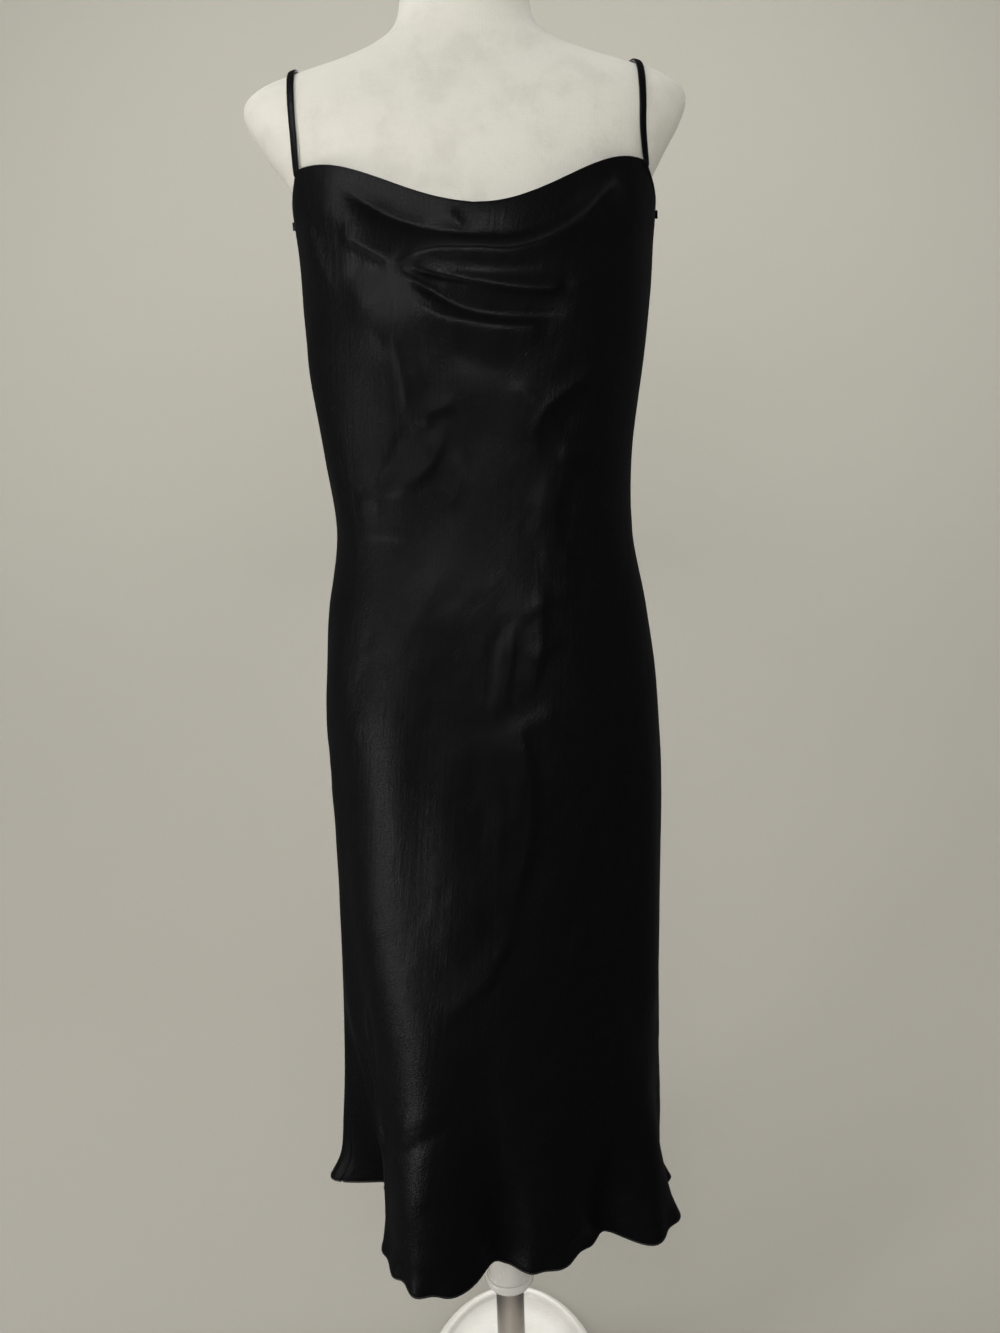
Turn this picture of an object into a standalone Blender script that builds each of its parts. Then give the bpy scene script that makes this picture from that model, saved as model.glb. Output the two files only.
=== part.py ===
"""A long satin slip dress with a cowl neck, on a limbless dress form and its height-adjustable stand.

Metres, +Z up.  The origin is the middle of the base plate's underside, on the floor.  The front of
the dress faces -Y.  "left" and "right" are as seen from the front: left is -X.
"""

import math
from collections import namedtuple

import bmesh
import bpy
from mathutils import Vector
from mathutils.bvhtree import BVHTree

# ---------------------------------------------------------------- driving sizes
CLOTH_WALL = 0.0012          # satin with its turned edges, as one wall
SEAM_GAP = 0.0004            # between pieces that are sewn together
TOUCH_GAP = 0.0003           # between hard pieces that touch

HEM_HEIGHT = 0.305
SIDE_TOP = 1.323             # top of the side seams, under the arms
CORNER_TOP = 1.353           # front corners, where the straps start
CORNER_ANGLE = 66.0
COWL_DIP = 1.309             # lowest point of the neckline
COWL_DIP_ANGLE = 2.0
BACK_FOOT_TOP = 1.316        # back edge where the straps end
BACK_FOOT_ANGLE = 137.0
BACK_DIP = 1.292             # back edge, at the middle

STRAP_WIDTH = 0.0066
STRAP_THICK = 0.0016
STRAP_LIFT = 0.0017          # clear of the form between its flat facets
BINDING_WIDTH = 0.0050
BINDING_THICK = 0.0010
BINDING_OUT = 0.0008         # of the cloth's outer face
STRAP_FRONT_RISE = 0.0020    # strap's front end over the corner
STRAP_BACK_RISE = 0.0032     # strap's back end over the back edge

COLLAR_HEIGHT = 0.166        # underside of the clamp collar
COLLAR_TALL = 0.0145
COLLAR_RADIUS = 0.0283
TUBE_RADIUS = 0.0255
POLE_RADIUS = 0.0160
SLIDE_GAP = 0.0004           # round the pole in the collar
TUBE_BORE_GAP = 0.0010       # more than that in the upper tube
POLE_WALL = 0.0015
POLE_TOP = 0.720
SOCKET_TOP = 0.820           # how far the tube reaches up into the form

BASE_HALF_WIDTH = 0.112
BASE_HALF_DEPTH = 0.158
BASE_HEIGHT = 0.014
BASE_RIM = 0.014
BASE_RECESS = 0.004

FRONT_COLUMNS = 40
BACK_COLUMNS = 28
FORM_COLUMNS = 40
TURN_STEPS = 40

# ---------------------------------------------------------------- tables
Section = namedtuple("Section", "height left right front back power")

# Plan of the hanging dress, hem to top: half widths, depths, and how square the oval is.
DRESS_SECTIONS = [
    Section(0.305, 0.177, 0.173, 0.134, 0.128, 2.00),
    Section(0.420, 0.174, 0.173, 0.133, 0.125, 2.00),
    Section(0.565, 0.168, 0.173, 0.132, 0.121, 2.05),
    Section(0.690, 0.164, 0.174, 0.131, 0.120, 2.10),
    Section(0.790, 0.164, 0.174, 0.130, 0.121, 2.15),
    Section(0.873, 0.163, 0.170, 0.127, 0.118, 2.15),
    Section(0.955, 0.155, 0.160, 0.120, 0.109, 2.15),
    Section(1.034, 0.143, 0.146, 0.113, 0.097, 2.15),
    Section(1.110, 0.150, 0.147, 0.117, 0.098, 2.20),
    Section(1.185, 0.157, 0.157, 0.127, 0.104, 2.30),
    Section(1.225, 0.158, 0.162, 0.131, 0.107, 2.35),
    Section(1.256, 0.158, 0.165, 0.129, 0.108, 2.40),
    Section(1.290, 0.160, 0.167, 0.117, 0.108, 2.45),
    Section(1.326, 0.163, 0.169, 0.107, 0.107, 2.50),
    Section(1.370, 0.160, 0.163, 0.100, 0.105, 2.50),
]

# The dress form, bottom to the cut of the neck.
FORM_SECTIONS = [
    Section(0.748, 0.146, 0.146, 0.094, 0.098, 2.15),
    Section(0.764, 0.153, 0.153, 0.101, 0.106, 2.15),
    Section(0.820, 0.157, 0.157, 0.106, 0.112, 2.15),
    Section(0.880, 0.154, 0.154, 0.104, 0.109, 2.15),
    Section(0.950, 0.142, 0.142, 0.098, 0.097, 2.10),
    Section(1.030, 0.126, 0.126, 0.091, 0.084, 2.10),
    Section(1.100, 0.129, 0.129, 0.095, 0.085, 2.15),
    Section(1.165, 0.142, 0.142, 0.103, 0.092, 2.20),
    Section(1.225, 0.149, 0.149, 0.106, 0.097, 2.25),
    Section(1.280, 0.152, 0.152, 0.100, 0.099, 2.25),
    Section(1.320, 0.154, 0.155, 0.093, 0.098, 2.25),
    Section(1.345, 0.164, 0.165, 0.088, 0.096, 2.30),
    Section(1.370, 0.181, 0.178, 0.083, 0.091, 2.50),
    Section(1.395, 0.197, 0.192, 0.077, 0.084, 2.65),
    Section(1.415, 0.202, 0.197, 0.068, 0.075, 2.65),
    Section(1.430, 0.189, 0.185, 0.060, 0.067, 2.40),
    Section(1.442, 0.158, 0.155, 0.054, 0.062, 2.10),
    Section(1.452, 0.122, 0.122, 0.051, 0.060, 2.00),
    Section(1.463, 0.091, 0.091, 0.048, 0.057, 2.00),
    Section(1.478, 0.067, 0.067, 0.046, 0.053, 2.00),
    Section(1.500, 0.058, 0.058, 0.045, 0.050, 2.00),
    Section(1.532, 0.056, 0.056, 0.045, 0.050, 2.00),
    Section(1.536, 0.053, 0.053, 0.042, 0.047, 2.00),
]

Bust = namedtuple("Bust", "side height out half_width half_height")
FORM_BUST = Bust(side=0.078, height=1.212, out=0.014, half_width=0.062, half_height=0.075)

Flute = namedtuple("Flute", "angle half_width out top")

# Flutes of the skirt at the hem, round from the front middle: positive angles to the right.
FLUTES = [
    Flute(-24.0, 24.0, 0.038, 0.70),
    Flute(-1.0, 11.0, -0.012, 0.48),
    Flute(13.0, 12.0, 0.006, 0.50),
    Flute(38.0, 14.0, -0.020, 0.50),
    Flute(56.0, 17.0, 0.026, 0.54),
    Flute(68.0, 12.0, 0.014, 0.42),
    Flute(-60.0, 17.0, -0.048, 0.70),
    Flute(-76.0, 14.0, -0.042, 0.62),
    Flute(-85.0, 8.0, -0.030, 0.46),
    Flute(-98.0, 12.0, 0.010, 0.56),
    Flute(116.0, 15.0, -0.014, 0.60),
    Flute(137.0, 19.0, 0.027, 0.66),
    Flute(163.0, 14.0, -0.012, 0.60),
    Flute(-175.0, 19.0, 0.024, 0.66),
    Flute(-149.0, 15.0, -0.016, 0.60),
    Flute(-124.0, 18.0, 0.026, 0.64),
]

Fold = namedtuple("Fold", "left left_height middle_height right right_height out half_height")

# Swags of the cowl, top to bottom: x and height of each end, height at the middle.
SWAGS = [
    Fold(-0.118, 1.330, 1.284, 0.122, 1.327, -0.009, 0.016),
    Fold(-0.085, 1.284, 1.268, 0.132, 1.332, 0.010, 0.013),
    Fold(-0.095, 1.268, 1.252, 0.112, 1.276, -0.006, 0.012),
    Fold(-0.070, 1.252, 1.238, 0.095, 1.246, 0.004, 0.011),
    Fold(-0.085, 1.243, 1.222, 0.085, 1.224, -0.006, 0.012),
]

# Rows of the panels as shares of the way from the hem to the top edge.
FRONT_ROWS = [0.0, 0.03, 0.07, 0.12, 0.18, 0.25, 0.33, 0.42, 0.50, 0.57, 0.64, 0.70, 0.75, 0.80,
              0.84, 0.87, 0.895, 0.908, 0.918, 0.928, 0.938, 0.948, 0.957, 0.966, 0.975, 0.983,
              0.991, 1.0]
BACK_ROWS = [0.0, 0.03, 0.07, 0.12, 0.18, 0.25, 0.33, 0.42, 0.50, 0.57, 0.64, 0.70, 0.76, 0.82,
             0.87, 0.92, 0.96, 1.0]

StrapStop = namedtuple("StrapStop", "turn left right")

# Straps over the shoulder: turn about the shoulder, 0 at the front edge and 1 at the back edge.
STRAP_STOPS = [
    StrapStop(0.00, -0.1495, 0.1500),
    StrapStop(0.20, -0.1505, 0.1510),
    StrapStop(0.38, -0.1530, 0.1505),
    StrapStop(0.48, -0.1520, 0.1460),
    StrapStop(0.60, -0.1400, 0.1330),
    StrapStop(0.80, -0.1180, 0.1160),
    StrapStop(1.00, -0.1060, 0.1060),
]
STRAP_STATIONS = 32
STRAP_FOOT_SHARE = 0.16      # share of the strap that leaves the form to meet the dress
SHOULDER_CENTRE = 1.345      # height of the line that the straps turn about

Finish = namedtuple("Finish", "colour roughness metallic")
FINISHES = {
    "satin": Finish((0.010, 0.010, 0.012, 1.0), 0.36, 0.0),
    "form_cover": Finish((0.62, 0.60, 0.54, 1.0), 0.85, 0.0),
    "stand_white": Finish((0.56, 0.54, 0.50, 1.0), 0.30, 0.0),
    "pole_metal": Finish((0.55, 0.52, 0.48, 1.0), 0.25, 1.0),
}


# ---------------------------------------------------------------- curves and sections
def eased(share):
    """Smooth step of a share held between 0 and 1."""
    share = min(max(share, 0.0), 1.0)
    return share * share * (3.0 - 2.0 * share)


def curve_through(rows, key, value, at):
    """Value of a named column on a smooth curve through the rows, at a place along the key."""
    places = [getattr(row, key) for row in rows]
    values = [getattr(row, value) for row in rows]
    at = min(max(at, places[0]), places[-1])
    i = max(k for k in range(len(places) - 1) if places[k] <= at)
    span = places[i + 1] - places[i]
    share = (at - places[i]) / span

    def slope(k):
        low = max(k - 1, 0)
        high = min(k + 1, len(places) - 1)
        return (values[high] - values[low]) / (places[high] - places[low]) * span

    a, b = values[i], values[i + 1]
    bend = (2 * share ** 3 - 3 * share ** 2 + 1) * a + (3 * share ** 2 - 2 * share ** 3) * b
    lean = (share ** 3 - 2 * share ** 2 + share) * slope(i) + (share ** 3 - share ** 2) * slope(i + 1)
    return bend + lean


def oval_point(sections, angle, height):
    """Point of a section's oval at an angle from the front middle, and its outward direction."""
    size = Section(height, *(curve_through(sections, "height", column, height)
                             for column in Section._fields[1:]))
    across, along = math.sin(math.radians(angle)), math.cos(math.radians(angle))
    half = size.right if across > 0 else size.left
    depth = size.front if along > 0 else size.back
    x = math.copysign(half * abs(across) ** (2 / size.power), across)
    y = -math.copysign(depth * abs(along) ** (2 / size.power), along)
    outward = Vector((x / half ** 2, y / depth ** 2, 0.0)).normalized()
    return Vector((x, y, height)), outward


def angle_between(angle, other):
    """Signed turn from one angle to another, the short way."""
    return (angle - other + 180.0) % 360.0 - 180.0


def flute_out(angle, height):
    """How far the skirt's flutes push the cloth out."""
    total = 0.0
    for flute in FLUTES:
        turn = abs(angle_between(angle, flute.angle)) / flute.half_width
        if turn < 1.0:
            grown = eased((flute.top - height) / (flute.top - HEM_HEIGHT)) ** 1.3
            total += flute.out * grown * 0.5 * (1 + math.cos(math.pi * turn))
    return total


def swag_out(x, height):
    """How far the cowl's swags push the front out."""
    total = 0.0
    for fold in SWAGS:
        middle = 0.5 * (fold.left + fold.right)
        half = 0.5 * (fold.right - fold.left)
        place = (x - middle) / half
        if abs(place) >= 1.0:
            continue
        end = fold.right_height if place > 0 else fold.left_height
        line = fold.middle_height + (end - fold.middle_height) * abs(place) ** 2.2
        off = abs(height - line) / fold.half_height
        if off < 1.0:
            fade = 1.0 - place ** 4
            total += fold.out * fade * 0.5 * (1 + math.cos(math.pi * off))
    return total


def top_edge(angle):
    """Height of the dress's top edge at an angle from the front middle."""
    turn = abs(angle)
    if turn <= CORNER_ANGLE:
        x = oval_point(DRESS_SECTIONS, angle, CORNER_TOP)[0].x
        dip_x = oval_point(DRESS_SECTIONS, COWL_DIP_ANGLE, CORNER_TOP)[0].x
        edge = math.copysign(CORNER_ANGLE, angle)
        corner_x = oval_point(DRESS_SECTIONS, edge, CORNER_TOP)[0].x
        share = min(max((x - dip_x) / (corner_x - dip_x), 0.0), 1.0)
        return COWL_DIP + (CORNER_TOP - COWL_DIP) * 0.5 * (1 - math.cos(math.pi * share))
    if turn <= 90.0:
        share = (90.0 - turn) / (90.0 - CORNER_ANGLE)
        return SIDE_TOP + (CORNER_TOP - SIDE_TOP) * share ** 1.7
    if turn <= BACK_FOOT_ANGLE:
        share = (turn - 90.0) / (BACK_FOOT_ANGLE - 90.0)
        return SIDE_TOP + (BACK_FOOT_TOP - SIDE_TOP) * eased(share)
    share = (turn - BACK_FOOT_ANGLE) / (180.0 - BACK_FOOT_ANGLE)
    return BACK_FOOT_TOP + (BACK_DIP - BACK_FOOT_TOP) * eased(share)


def dress_point(angle, height, out=0.0):
    """Point on the outside of the cloth, moved out along its plan direction."""
    point, outward = oval_point(DRESS_SECTIONS, angle, height)
    out += flute_out(angle, height)
    if abs(angle) < 90.0:
        out += swag_out(point.x, height)
    return point + outward * out


def dress_normal(angle, height):
    """Outward direction of the cloth, folds and flutes included."""
    round_it = dress_point(angle + 0.4, height) - dress_point(angle - 0.4, height)
    up_it = dress_point(angle, height + 0.003) - dress_point(angle, height - 0.003)
    return round_it.cross(up_it).normalized()


# ---------------------------------------------------------------- building
def clear_scene():
    for thing in list(bpy.data.objects):
        bpy.data.objects.remove(thing, do_unlink=True)


def make_material(name):
    finish = FINISHES[name]
    material = bpy.data.materials.new(name)
    material.use_nodes = True
    shader = material.node_tree.nodes["Principled BSDF"]
    shader.inputs["Base Color"].default_value = finish.colour
    shader.inputs["Roughness"].default_value = finish.roughness
    shader.inputs["Metallic"].default_value = finish.metallic
    material.diffuse_color = finish.colour
    return material


def add_object(name, mesh, material, collection, parent):
    thing = bpy.data.objects.new(name, mesh)
    thing.data.materials.append(material)
    thing.parent = parent
    collection.objects.link(thing)
    return thing


def mesh_from(shape, name, sharp_angle=40.0):
    mesh = bpy.data.meshes.new(name)
    shape.to_mesh(mesh)
    shape.free()
    mesh.shade_smooth()
    mesh.set_sharp_from_angle(angle=math.radians(sharp_angle))
    return mesh


def grid_mesh(name, rows):
    """Open sheet through rows of points; its outside is seen with the rows going up, left to right."""
    shape = bmesh.new()
    lines = [[shape.verts.new(point) for point in row] for row in rows]
    for low, high in zip(lines, lines[1:]):
        for i in range(len(low) - 1):
            shape.faces.new((low[i], low[i + 1], high[i + 1], high[i]))
    return mesh_from(shape, name)


def shell_mesh(name, outer, inner):
    """Closed wall between an outer and an inner sheet of the same number of rows and columns."""
    shape = bmesh.new()
    outer, inner = ([[shape.verts.new(point) for point in row] for row in sheet]
                    for sheet in (outer, inner))
    last_row, last_column = len(outer) - 1, len(outer[0]) - 1
    for r in range(last_row):
        for c in range(last_column):
            shape.faces.new((outer[r][c], outer[r][c + 1], outer[r + 1][c + 1], outer[r + 1][c]))
            shape.faces.new((inner[r][c], inner[r + 1][c], inner[r + 1][c + 1], inner[r][c + 1]))
    for c in range(last_column):
        shape.faces.new((outer[0][c + 1], outer[0][c], inner[0][c], inner[0][c + 1]))
        shape.faces.new((outer[-1][c], outer[-1][c + 1], inner[-1][c + 1], inner[-1][c]))
    for r in range(last_row):
        shape.faces.new((outer[r][0], outer[r + 1][0], inner[r + 1][0], inner[r][0]))
        shape.faces.new((outer[r + 1][-1], outer[r][-1], inner[r][-1], inner[r + 1][-1]))
    return mesh_from(shape, name)


def rings_mesh(name, rings):
    """Closed body through rings that run anticlockwise seen from above, the first one facing down."""
    shape = bmesh.new()
    loops = [[shape.verts.new(point) for point in ring] for ring in rings]
    count = len(loops[0])
    for low, high in zip(loops, loops[1:]):
        for i in range(count):
            j = (i + 1) % count
            shape.faces.new((low[i], low[j], high[j], high[i]))
    shape.faces.new(list(reversed(loops[0])))
    shape.faces.new(loops[-1])
    return mesh_from(shape, name)


def turned(name, profile, material, collection, parent):
    """Ring turned about Z from a closed outline that runs down its outer side."""
    shape = bmesh.new()
    points = [shape.verts.new((radius, 0.0, height)) for radius, height in profile]
    for i, point in enumerate(points):
        shape.edges.new((point, points[(i + 1) % len(points)]))
    thing = add_object(name, mesh_from(shape, name), material, collection, parent)
    screw = thing.modifiers.new("turn", "SCREW")
    screw.axis = "Z"
    screw.angle = math.tau
    screw.steps = TURN_STEPS
    screw.render_steps = TURN_STEPS
    screw.use_merge_vertices = True
    screw.merge_threshold = 0.00001
    return thing


def thicken(thing, thickness, outward):
    wall = thing.modifiers.new("wall", "SOLIDIFY")
    wall.thickness = thickness
    wall.offset = 1.0 if outward else -1.0
    wall.use_even_offset = False
    wall.use_rim = True


def seam_angle(seam, towards, height):
    """Angle just beside a side seam that leaves half the seam's gap along the cloth."""
    at_seam = dress_point(seam, height)
    near, far = 0.0, 3.0
    for _ in range(18):
        step = 0.5 * (near + far)
        if (dress_point(seam + towards * step, height) - at_seam).length < 0.5 * SEAM_GAP:
            near = step
        else:
            far = step
    return seam + towards * far


def panel(name, first, last, columns, shares, material, collection, parent):
    """One cut piece of the dress, from one side seam to the other."""
    outer, inner = [], []
    for share in shares:
        outer.append([])
        inner.append([])
        for i in range(columns + 1):
            angle = angle_between(first + (last - first) * i / columns, 0.0)
            height = HEM_HEIGHT + share * (top_edge(angle) - HEM_HEIGHT)
            normal = dress_normal(angle, height)
            if i in (0, columns):
                angle = seam_angle(angle, 1.0 if i == 0 else -1.0, height)
            point = dress_point(angle, height)
            outer[-1].append(point)
            inner[-1].append(point - normal * CLOTH_WALL)
    return add_object(name, shell_mesh(name, outer, inner), material, collection, parent)


def armhole_binding(name, side, material, collection, parent):
    """Narrow tape on the outside of the armhole edge, from the front corner to the back strap."""
    front_step = 180.0 / FRONT_COLUMNS
    back_step = 180.0 / BACK_COLUMNS
    front_angles = [i * front_step for i in range(FRONT_COLUMNS + 1)
                    if CORNER_ANGLE + 1.0 < i * front_step < 90.0]
    back_angles = [90.0 + i * back_step for i in range(BACK_COLUMNS + 1)
                   if 90.0 <= 90.0 + i * back_step < BACK_FOOT_ANGLE]
    rows = []
    for drop in (BINDING_WIDTH, 0.0):
        row = []
        for turn in [CORNER_ANGLE + 1.0] + front_angles + back_angles + [BACK_FOOT_ANGLE]:
            angle = side * turn
            row.append(dress_point(angle, top_edge(angle) - drop, out=BINDING_OUT))
        rows.append(row if side > 0 else row[::-1])
    thing = add_object(name, grid_mesh(name, rows), material, collection, parent)
    thicken(thing, BINDING_THICK, outward=True)
    return thing


def shoulder_strap(name, side, form, material, collection, parent):
    """Flat sewn strap that lies on the form's shoulder, from the front corner to the back edge."""
    tree = BVHTree.FromObject(form, bpy.context.evaluated_depsgraph_get())
    column = "right" if side > 0 else "left"
    front_foot = dress_point(side * (CORNER_ANGLE + 1.0), CORNER_TOP + STRAP_FRONT_RISE)
    back_foot = dress_point(side * (BACK_FOOT_ANGLE - 1.5), BACK_FOOT_TOP + STRAP_BACK_RISE)
    start = math.atan2(front_foot.z - SHOULDER_CENTRE, front_foot.y)
    end = math.atan2(back_foot.z - SHOULDER_CENTRE, back_foot.y)
    start = start if start > 0 else start + math.tau
    reach = [math.hypot(foot.y, foot.z - SHOULDER_CENTRE) for foot in (front_foot, back_foot)]
    centres, normals = [], []
    for i in range(STRAP_STATIONS + 1):
        turn = i / STRAP_STATIONS
        angle = start + (end - start) * turn
        ray = Vector((0.0, math.cos(angle), math.sin(angle)))
        foot, foot_reach = (front_foot, reach[0]) if turn < 0.5 else (back_foot, reach[1])
        near = eased(1.0 - min(turn, 1.0 - turn) / STRAP_FOOT_SHARE)
        x = curve_through(STRAP_STOPS, "turn", column, turn)
        x += (foot.x - x) * near
        on_form = 0.0
        for aside in (-0.5, 0.0, 0.5):
            centre = Vector((x + aside * STRAP_WIDTH, 0.0, SHOULDER_CENTRE))
            hit, normal, _, _ = tree.ray_cast(centre + ray * 0.5, -ray)
            on_form = max(on_form, (hit - centre).length)
            if aside == 0.0:
                middle_normal = normal
        lifted = on_form + STRAP_LIFT
        distance = max(lifted, lifted + (foot_reach - lifted) * near)
        centres.append(Vector((x, 0.0, SHOULDER_CENTRE)) + ray * distance)
        normals.append(middle_normal)
    shape = bmesh.new()
    pairs = []
    for i, (point, normal) in enumerate(zip(centres, normals)):
        ahead = centres[min(i + 1, STRAP_STATIONS)] - centres[max(i - 1, 0)]
        across = ahead.cross(normal).normalized() * STRAP_WIDTH * 0.5
        pairs.append((shape.verts.new(point + across), shape.verts.new(point - across)))
    for (a, b), (c, d) in zip(pairs, pairs[1:]):
        shape.faces.new((a, c, d, b))
    shape.normal_update()
    outward = sum((face.normal for face in shape.faces), Vector()).z
    if outward < 0:
        bmesh.ops.reverse_faces(shape, faces=shape.faces)
    thing = add_object(name, mesh_from(shape, name), material, collection, parent)
    thicken(thing, STRAP_THICK, outward=True)
    return thing


def dress_form(name, material, collection, parent):
    """Limbless torso with a neck, closed below round a blind socket for the tube."""
    low, high = FORM_SECTIONS[0].height, FORM_SECTIONS[-1].height
    heights = []
    for lower, upper in zip(FORM_SECTIONS, FORM_SECTIONS[1:]):
        steps = 2 if upper.height - lower.height > 0.045 else 1
        heights += [lower.height + (upper.height - lower.height) * k / steps for k in range(steps)]
    heights.append(high)
    angles = [360.0 * i / FORM_COLUMNS - 180.0 for i in range(FORM_COLUMNS)]

    def body_point(angle, height):
        point, outward = oval_point(FORM_SECTIONS, angle, height)
        for side in (-1, 1):
            off = math.hypot((point.x - side * FORM_BUST.side) / FORM_BUST.half_width,
                             (height - FORM_BUST.height) / FORM_BUST.half_height)
            if off < 1.0 and point.y < 0:
                point.y -= FORM_BUST.out * 0.5 * (1 + math.cos(math.pi * off))
        return point

    def socket_ring(radius, height):
        return [Vector((radius * math.sin(math.radians(a)), -radius * math.cos(math.radians(a)), height))
                for a in angles]

    socket = TUBE_RADIUS + TOUCH_GAP
    rings = [socket_ring(socket, SOCKET_TOP + TOUCH_GAP), socket_ring(socket, low)]
    rings += [[body_point(angle, height) for angle in angles] for height in heights]
    return add_object(name, rings_mesh(name, rings), material, collection, parent)


def oval_ring(inset, height, count=56):
    """Ring of the base plate, a set distance inside its edge."""
    return [Vector(((BASE_HALF_WIDTH - inset) * math.sin(math.tau * i / count),
                    -(BASE_HALF_DEPTH - inset) * math.cos(math.tau * i / count), height))
            for i in range(count)]


def base_plate(name, material, collection, parent):
    """Oval plate with a rounded raised rim round a shallow panel."""
    top = BASE_HEIGHT
    rings = [
        oval_ring(0.0015, 0.0),
        oval_ring(0.0, 0.0015),
        oval_ring(0.0, top - 0.004),
        oval_ring(0.0012, top - 0.0012),
        oval_ring(0.004, top),
        oval_ring(BASE_RIM - 0.002, top),
        oval_ring(BASE_RIM, top - 0.001),
        oval_ring(BASE_RIM + 0.003, top - BASE_RECESS),
    ]
    return add_object(name, rings_mesh(name, rings), material, collection, parent)


def build():
    clear_scene()
    collection = bpy.data.collections.new("slip_dress_on_form")
    bpy.context.scene.collection.children.link(collection)
    materials = {name: make_material(name) for name in FINISHES}

    stand = bpy.data.objects.new("stand", None)
    collection.objects.link(stand)
    raised = bpy.data.objects.new("raised_by_the_tube", None)
    raised.parent = stand
    collection.objects.link(raised)

    recess_top = BASE_HEIGHT - BASE_RECESS
    base_plate("base_plate", materials["stand_white"], collection, stand)
    pole_foot = recess_top + TOUCH_GAP
    turned("lower_pole", [(POLE_RADIUS, POLE_TOP), (POLE_RADIUS, pole_foot),
                          (POLE_RADIUS - POLE_WALL, pole_foot), (POLE_RADIUS - POLE_WALL, POLE_TOP)],
           materials["pole_metal"], collection, stand)

    bore = POLE_RADIUS + SLIDE_GAP
    collar_top = COLLAR_HEIGHT + COLLAR_TALL
    turned("clamp_collar", [(TUBE_RADIUS + SLIDE_GAP, collar_top),
                            (COLLAR_RADIUS - 0.0006, collar_top - 0.0015),
                            (COLLAR_RADIUS, collar_top - 0.004),
                            (COLLAR_RADIUS - 0.0012, collar_top - 0.0095),
                            (COLLAR_RADIUS - 0.0045, COLLAR_HEIGHT + 0.0012),
                            (COLLAR_RADIUS - 0.0070, COLLAR_HEIGHT),
                            (bore, COLLAR_HEIGHT), (bore, collar_top)],
           materials["stand_white"], collection, raised)
    tube_foot = collar_top + TOUCH_GAP
    turned("upper_tube", [(TUBE_RADIUS, SOCKET_TOP), (TUBE_RADIUS, tube_foot),
                          (bore + TUBE_BORE_GAP, tube_foot), (bore + TUBE_BORE_GAP, SOCKET_TOP)],
           materials["stand_white"], collection, raised)
    form = dress_form("dress_form", materials["form_cover"], collection, raised)

    satin = materials["satin"]
    panel("front_panel", -90.0, 90.0, FRONT_COLUMNS, FRONT_ROWS, satin, collection, raised)
    panel("back_panel", 90.0, 270.0, BACK_COLUMNS, BACK_ROWS, satin, collection, raised)
    bpy.context.view_layer.update()
    for side, word in ((-1, "left"), (1, "right")):
        armhole_binding("armhole_binding_" + word, side, satin, collection, raised)
        shoulder_strap("strap_" + word, side, form, satin, collection, raised)
    bpy.context.view_layer.update()


build()
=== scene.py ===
"""Looks of a long black satin slip dress with a cowl neck, worn by a limbless dress form on its stand.

Metres, +Z up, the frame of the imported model.  The front of the dress faces -Y.  "left" and "right"
are as seen from the front: left is -X.  Crease and ruffle tables are in millimetres on the cloth:
first the distance round from the middle of the panel, left to right as seen from outside, then the
height above the floor.
"""

import logging
import math
from collections.abc import Callable, Sequence
from dataclasses import dataclass, field
from enum import Enum
from typing import Any

import bmesh
import bpy
import numpy as np
from mathutils import Matrix, Vector
from mathutils.bvhtree import BVHTree


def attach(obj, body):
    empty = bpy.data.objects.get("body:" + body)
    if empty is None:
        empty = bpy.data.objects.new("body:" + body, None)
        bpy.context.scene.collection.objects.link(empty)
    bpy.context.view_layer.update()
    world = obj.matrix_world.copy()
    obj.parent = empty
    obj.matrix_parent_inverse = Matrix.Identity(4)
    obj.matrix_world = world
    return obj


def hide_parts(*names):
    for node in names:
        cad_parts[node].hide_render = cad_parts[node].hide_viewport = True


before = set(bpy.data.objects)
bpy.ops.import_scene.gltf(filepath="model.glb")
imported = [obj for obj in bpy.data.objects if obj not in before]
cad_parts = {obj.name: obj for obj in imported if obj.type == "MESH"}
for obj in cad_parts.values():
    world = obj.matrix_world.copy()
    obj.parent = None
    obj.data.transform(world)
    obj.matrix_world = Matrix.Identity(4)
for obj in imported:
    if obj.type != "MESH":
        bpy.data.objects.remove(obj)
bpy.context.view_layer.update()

LOG = logging.getLogger("slip_dress")
MM = 0.001
CLOTH_CHART = "cloth"        # UV map of every sewn piece: metres along and up the cloth
Array = np.ndarray


class Body(Enum):
    """The two bodies of the stand that pieces ride on."""

    STAND = "stand"
    FORM = "dressed_form"


class Side(Enum):
    """A side of the dress as seen from the front, with the sign of its X."""

    LEFT = -1
    RIGHT = 1

    @property
    def word(self) -> str:
        """The side's name in lower case."""
        return self.name.lower()


# ------------------------------------------------------------------------------------ shader bench
def operator(operation: str, reflected: bool = False) -> Callable[["Wire", Any], "Wire"]:
    """A Python operator of a wire that adds a Math node.

    Args:
        operation: the Math node's operation.
        reflected: whether the wire stands on the right of the sign.

    Returns:
        The operator.
    """
    def joined(wire: "Wire", other: Any) -> "Wire":
        """Join a wire with another wire or a number."""
        first, second = (other, wire) if reflected else (wire, other)
        return wire.bench.node("ShaderNodeMath", {"operation": operation}, {0: first, 1: second})
    return joined


class Wire:
    """A shader socket that Python arithmetic can be written with."""

    def __init__(self, bench: "Bench", socket: bpy.types.NodeSocket) -> None:
        """Wrap a node's output socket."""
        self.bench = bench
        self.socket = socket

    __add__, __radd__ = operator("ADD"), operator("ADD", True)
    __sub__, __rsub__ = operator("SUBTRACT"), operator("SUBTRACT", True)
    __mul__, __rmul__ = operator("MULTIPLY"), operator("MULTIPLY", True)

    def clamped(self, low: float, high: float) -> "Wire":
        """Share of the way from a low to a high value, held between 0 and 1."""
        settings = {"interpolation_type": "SMOOTHSTEP"}
        return self.bench.node("ShaderNodeMapRange", settings, {0: self, 1: low, 2: high})


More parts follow.
